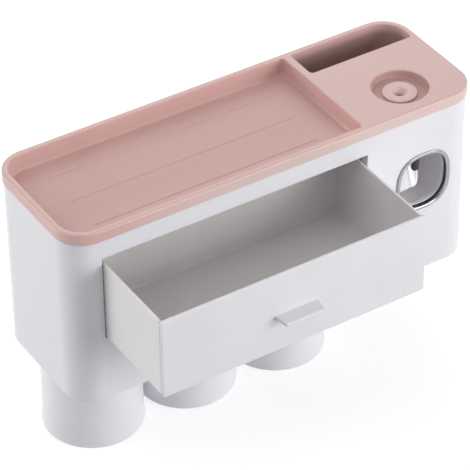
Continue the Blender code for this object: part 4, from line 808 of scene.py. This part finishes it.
# %% The drawer's box
box_low, box_high = box_mm("drawer_box")
(X0, Y0), (X1, Y1) = box_low[:2], box_high[:2]
DRAWER_TOP, BOX_LOW, FLOOR_LOW, FLOOR_TOP = -18.5, -78.9, -76.1, -74.1
SIDE, BOX_RADIUS, U_STEPS = 1.8, 3.0, 10
SKID_EDGE, RIM_ROUND, FLOOR_ROUND = 0.3, 0.6, 1.6
drawer = Moulding()


def u_plan(inset):
    """The box's U: a rounded rectangle's back half, from its front right end round to its front left end."""
    radii = [LEAST_RADIUS, LEAST_RADIUS, BOX_RADIUS - inset, BOX_RADIUS - inset]
    whole = rounded(X0 + inset, X1 - inset, Y0, Y1 - inset, radii, U_STEPS)
    return np.vstack([[X1 - inset, Y0], whole[2 * (U_STEPS + 1):], [X0 + inset, Y0]])


walls = drawer.wall(u_plan, np.vstack([
    [(SIDE, FLOOR_LOW), (SIDE, BOX_LOW + SKID_EDGE), (SIDE - SKID_EDGE, BOX_LOW)],
    [(SKID_EDGE, BOX_LOW), (0, BOX_LOW + SKID_EDGE)],
    quarter(RIM_ROUND, DRAWER_TOP - RIM_ROUND, RIM_ROUND, 180),
    quarter(SIDE - RIM_ROUND, DRAWER_TOP - RIM_ROUND, RIM_ROUND, 90),
    quarter(SIDE + FLOOR_ROUND, FLOOR_TOP + FLOOR_ROUND, FLOOR_ROUND, 180, 90),
]), closed=False)
drawer.cap(walls[-1])
drawer.cap(walls[0])
drawer.cap(np.vstack([walls[:, 0], walls[::-1, -1]]), plane="xz")
print("the drawer's box:", drawer.count, "points")

# %% Its stop tab
# It stands on the back wall and keeps the drawer from coming out of the housing
TAB_HALF, TAB_HIGH, TAB_ROUND, TAB_INSET, TAB_SUNK = 14.9, 6.0, 0.5, 0.1, 0.8
middle = (X0 + X1) / 2
tab_edges = (middle - TAB_HALF, middle + TAB_HALF, Y1 - SIDE + TAB_INSET, Y1 - TAB_INSET)
tab = drawer.wall(plan(tab_edges, [TAB_ROUND] * 4), np.vstack([
    [(0, DRAWER_TOP - TAB_SUNK)],
    quarter(TAB_ROUND, DRAWER_TOP + TAB_HIGH - TAB_ROUND, TAB_ROUND, 180, steps=4),
]))
drawer.cap(tab[0])
drawer.cap(tab[-1])
piece("drawer_tray", drawer, box_abs, "drawer", "drawer_box")

# %% The drawer's front
PANEL = (24.0, 226.4, -79.9, DRAWER_TOP)
PANEL_RADIUS, PANEL_THICK, FACE_ROUND, BACK_ROUND = 1.4, 2.5, 0.6, 0.4
PANEL_BACK = box_mm("drawer_front")[1][1]
PANEL_Y = PANEL_BACK - PANEL_THICK
panel = Moulding()
sheet = panel.wall(plan(PANEL, [PANEL_RADIUS] * 4), np.vstack([
    [(FACE_ROUND + FLAT, PANEL_Y)],
    quarter(FACE_ROUND, PANEL_Y + FACE_ROUND, FACE_ROUND, 270),
    quarter(BACK_ROUND, PANEL_BACK - BACK_ROUND, BACK_ROUND, 180, steps=3),
]), "xz")
panel.cap(sheet[0], plane="xz")
panel.cap(sheet[-1], plane="xz")
print("the drawer's front, mm:", round(PANEL[1] - PANEL[0], 1), "x", round(PANEL[3] - PANEL[2], 1))

# %% Its pull ledge
PULL_X, PULL_HALF, PULL_LOW, PULL_TOP, PULL_DEEP, PULL_RADIUS = 125.2, 15.0, -53.0, -50.6, 10.8, 1.6
PULL_UNDER, PULL_OVER, PULL_WIDENS, PULL_SUNK, PULL_STEPS = 0.5, 0.6, 0.1, 1.0, 8
PULL_Y = PANEL_Y - PULL_DEEP


def pull_plan(inset):
    """The ledge's plan: a rounded rectangle whose half width grows by a share of the way back to the panel."""
    radii = [PULL_RADIUS - inset, PULL_RADIUS - inset, LEAST_RADIUS, LEAST_RADIUS]
    flat = rounded(inset - PULL_HALF, PULL_HALF - inset, PULL_Y + inset, PANEL_Y + PULL_SUNK, radii, PULL_STEPS)
    way = (flat[:, 1] - PULL_Y) / (PANEL_Y - PULL_Y)
    flat[:, 0] = PULL_X + flat[:, 0] * (1 + PULL_WIDENS * way)
    return flat


ledge = panel.wall(pull_plan, np.vstack([
    [(PULL_UNDER + FLAT, PULL_LOW)],
    quarter(PULL_UNDER, PULL_LOW + PULL_UNDER, PULL_UNDER, 270),
    quarter(PULL_OVER, PULL_TOP - PULL_OVER, PULL_OVER, 180),
    [(PULL_OVER + FLAT, PULL_TOP)],
]))
panel.cap(ledge[0])
panel.cap(ledge[-1])
piece("drawer_panel", panel, drawer_abs, "drawer", "drawer_front")

# %% [markdown]
# ## The cups
# Three mouthwash cups hang upside down. Each is a tapered wall with a rounded lip at the mouth, a rounded foot
# at the top and a pocket for the magnet's cap, so its profile is turned about the cup's axis.

# %% Cups
# Radii and heights: the first two lists' heights are from the base, the others' from the mouth
CAP_POCKET = [(0, -3.6), (8.5, -3.6), (8.9, -3.2), (8.9, -0.3), (9.2, 0), (27.6, 0)]
POCKET_INSIDE = [(11.3, -1.8), (10.9, -2.2), (10.9, -5.0), (10.3, -5.6), (0, -5.6)]
MOUTH_BAND, MOUTH_INSIDE = [(35.45, 4.2), (35.8, 3.2), (35.8, 0.9)], [(34.0, 3.0)]
# The wall turns into the base about one centre, inside and out, and the lip is two quarter circles
SHOULDER, SHOULDER_OUT, SHOULDER_IN = 28.4, 5.2, 3.4
LIP_OUT, LIP_IN, MOUTH_ROUND = 35.1, 34.7, 0.7
for index, body in enumerate(("left_cup", "middle_cup", "right_cup"), 1):
    low, high = box_mm(f"cup_{index}")
    x, y = ((low + high) / 2)[:2]
    mouth, base = low[2], high[2]
    cup = Moulding()
    cup.turned(np.vstack([
        np.add(CAP_POCKET, (0, base)),
        quarter(SHOULDER, base - SHOULDER_OUT, SHOULDER_OUT, 90, steps=9),
        np.add(MOUTH_BAND, (0, mouth)),
        quarter(LIP_OUT, mouth + MOUTH_ROUND, MOUTH_ROUND, 0, steps=4),
        quarter(LIP_IN, mouth + MOUTH_ROUND, MOUTH_ROUND, 270, steps=4),
        np.add(MOUTH_INSIDE, (0, mouth)),
        quarter(SHOULDER, base - SHOULDER_OUT, SHOULDER_IN, 0, 90, steps=7),
        np.add(POCKET_INSIDE, (0, base)),
    ]), x, y)
    piece(f"cup_moulding_{index}", cup, cup_pp, body, f"cup_{index}")

# %% [markdown]
# ## What stays as the solids have it
# The parts inside the housing and on the wall, such as the deck, the guides, the brush rack, the channel head
# and the screws, are plain mouldings and turned metal. Their solids keep their shape and only take a finish.

# %% Finishes of the inner pieces
FINISH_OF = {
    "adhesive_pad": foam, "wall_plate": clear_pc, "drawer_deck": inner_abs, "bay_divider": inner_abs,
    "drawer_guide": inner_abs, "brush_rack": white_abs, "cup_seat": inner_abs, "seat_magnet": nickel,
    "deck_screw": steel, "rack_screw": steel, "dispenser_liner": liner_abs, "inlet_throat": inner_abs,
    "channel_head": inner_abs, "nozzle": dark_rubber, "dispenser_frame": inner_abs,
    "frame_screw": steel, "bottom_cover": white_abs, "cover_screw": steel, "lever_pin": steel,
    "lever_spring": steel, "cup_magnet": nickel, "magnet_cap": cup_pp,
}
dressed = 0
for name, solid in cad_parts.items():
    for start, finish in FINISH_OF.items():
        if name.startswith(start):
            solid.data.materials.clear()
            solid.data.materials.append(finish)
            dressed += 1
print("solids with a finish of their own:", dressed)

# %% [markdown]
# ## Floor, light and camera
# The photograph is a studio cut-out on white: soft light from all round, a little more from the front and
# above, and hardly a shadow. A pale lit floor, a dim even sky and five soft lamps give the same.

# %% Floor
# Half its width and its distance under the holder, in metres, and its glow
REACH, FLOOR_GAP, GLOW = 3.0, 0.0005, 0.68
floor_z = CAD_BOX[0][2] - FLOOR_GAP
floor_mesh = bpy.data.meshes.new("studio_floor")
floor_mesh.from_pydata(
    [(-REACH, -REACH, floor_z), (REACH, -REACH, floor_z), (REACH, REACH, floor_z), (-REACH, REACH, floor_z)],
    [], [(0, 1, 2, 3)],
)
# A light table of frosted acrylic, lit from below, as cut-outs are shot on: it swallows the floor's shadows
floor_mesh.materials.append(moulded("light_table", "B6B6B6", "B3B3B3", 2.0, 0.02, 0.9, 1.0, 300.0, {
    "Emission Color": (1.0, 1.0, 1.0, 1.0), "Emission Strength": GLOW,
}))
floor = bpy.data.objects.new("studio_floor", floor_mesh)
# Its glow is only for the eye: it lights nothing, as in a cut-out, so the drawer shades the front no more than
# it does in the photograph
floor.visible_diffuse = False
bpy.context.scene.collection.objects.link(floor)
print("floor at z, mm:", round(floor_z / MM, 1))

# %% Sky
SKY, SKY_STRENGTH = "FBFBFF", 0.3
world = bpy.data.worlds.new("studio")
bpy.context.scene.world = world
world.use_nodes = True
sky = world.node_tree.nodes["Background"]
sky.inputs["Color"].default_value = linear(SKY)
sky.inputs["Strength"].default_value = SKY_STRENGTH
print("sky:", SKY, "at", SKY_STRENGTH)

# %% Lamps
# Each lamp's azimuth from the front towards the right and its elevation, in degrees, its width in metres and
# its power in watts
LAMPS = {
    "front_right": (30, 12, 1.1, 21.0),
    "front_high": (0, 68, 1.1, 2.8),
    "left": (-90, 40, 1.1, 5.8),
    "back_left": (-120, 5, 0.8, 14.5),
    "back_right": (150, 40, 1.1, 9.2),
}
LAMP_DISTANCE, MIDDLE = 1.7, Vector((0.0, 0.0, 0.0))


def lamp(name, azimuth, elevation, size, power):
    """A square soft lamp, aimed at the middle: its place is the distance times its angles' sines and cosines."""
    a, e = math.radians(azimuth), math.radians(elevation)
    place = Vector((math.sin(a) * math.cos(e), -math.cos(a) * math.cos(e), math.sin(e))) * LAMP_DISTANCE
    light = bpy.data.lights.new(name, "AREA")
    light.shape, light.size, light.energy = "SQUARE", size, power
    holder = bpy.data.objects.new(name, light)
    holder.location = place
    holder.rotation_euler = (MIDDLE - place).to_track_quat("-Z", "Y").to_euler()
    bpy.context.scene.collection.objects.link(holder)


for name, settings in LAMPS.items():
    lamp(name, *settings)
print("lamps:", len(LAMPS), "of", round(sum(each[-1] for each in LAMPS.values()), 1), "W together")

# %% Camera
# Its place and angles were solved from the photograph's straight edges: 32 degrees round to the left of the
# front, 38 degrees above it, with a long lens from about 1.9 m
FOCAL_MM, SENSOR_MM, SEES_M = 211.76, 36.0, 100
# In the row frame, not from the lid's corner
CAMERA_MM = (-797.93, -1322.75, 1181.37)
azimuth, elevation, roll = math.radians(32.01), math.radians(37.81), math.radians(0.636)
level = math.cos(elevation)
forward = Vector((math.sin(azimuth) * level, math.cos(azimuth) * level, -math.sin(elevation)))
right = Vector((math.cos(azimuth), -math.sin(azimuth), 0))
down = forward.cross(right)
right, down = (
    math.cos(roll) * right + math.sin(roll) * down,
    -math.sin(roll) * right + math.cos(roll) * down,
)
aim = Matrix((right, -down, -forward)).transposed().to_4x4()
lens = bpy.data.cameras.new("photo_camera")
lens.lens, lens.sensor_width, lens.sensor_fit = FOCAL_MM, SENSOR_MM, "HORIZONTAL"
lens.clip_end = SEES_M
camera = bpy.data.objects.new("photo_camera", lens)
camera.matrix_world = Matrix.Translation(Vector(CAMERA_MM) * MM) @ aim
bpy.context.scene.collection.objects.link(camera)
bpy.context.scene.camera = camera
bpy.context.scene.view_settings.view_transform = "Standard"
print("camera at, mm:", *CAMERA_MM, "with a lens of", FOCAL_MM)

# %% The end
bpy.context.view_layer.update()
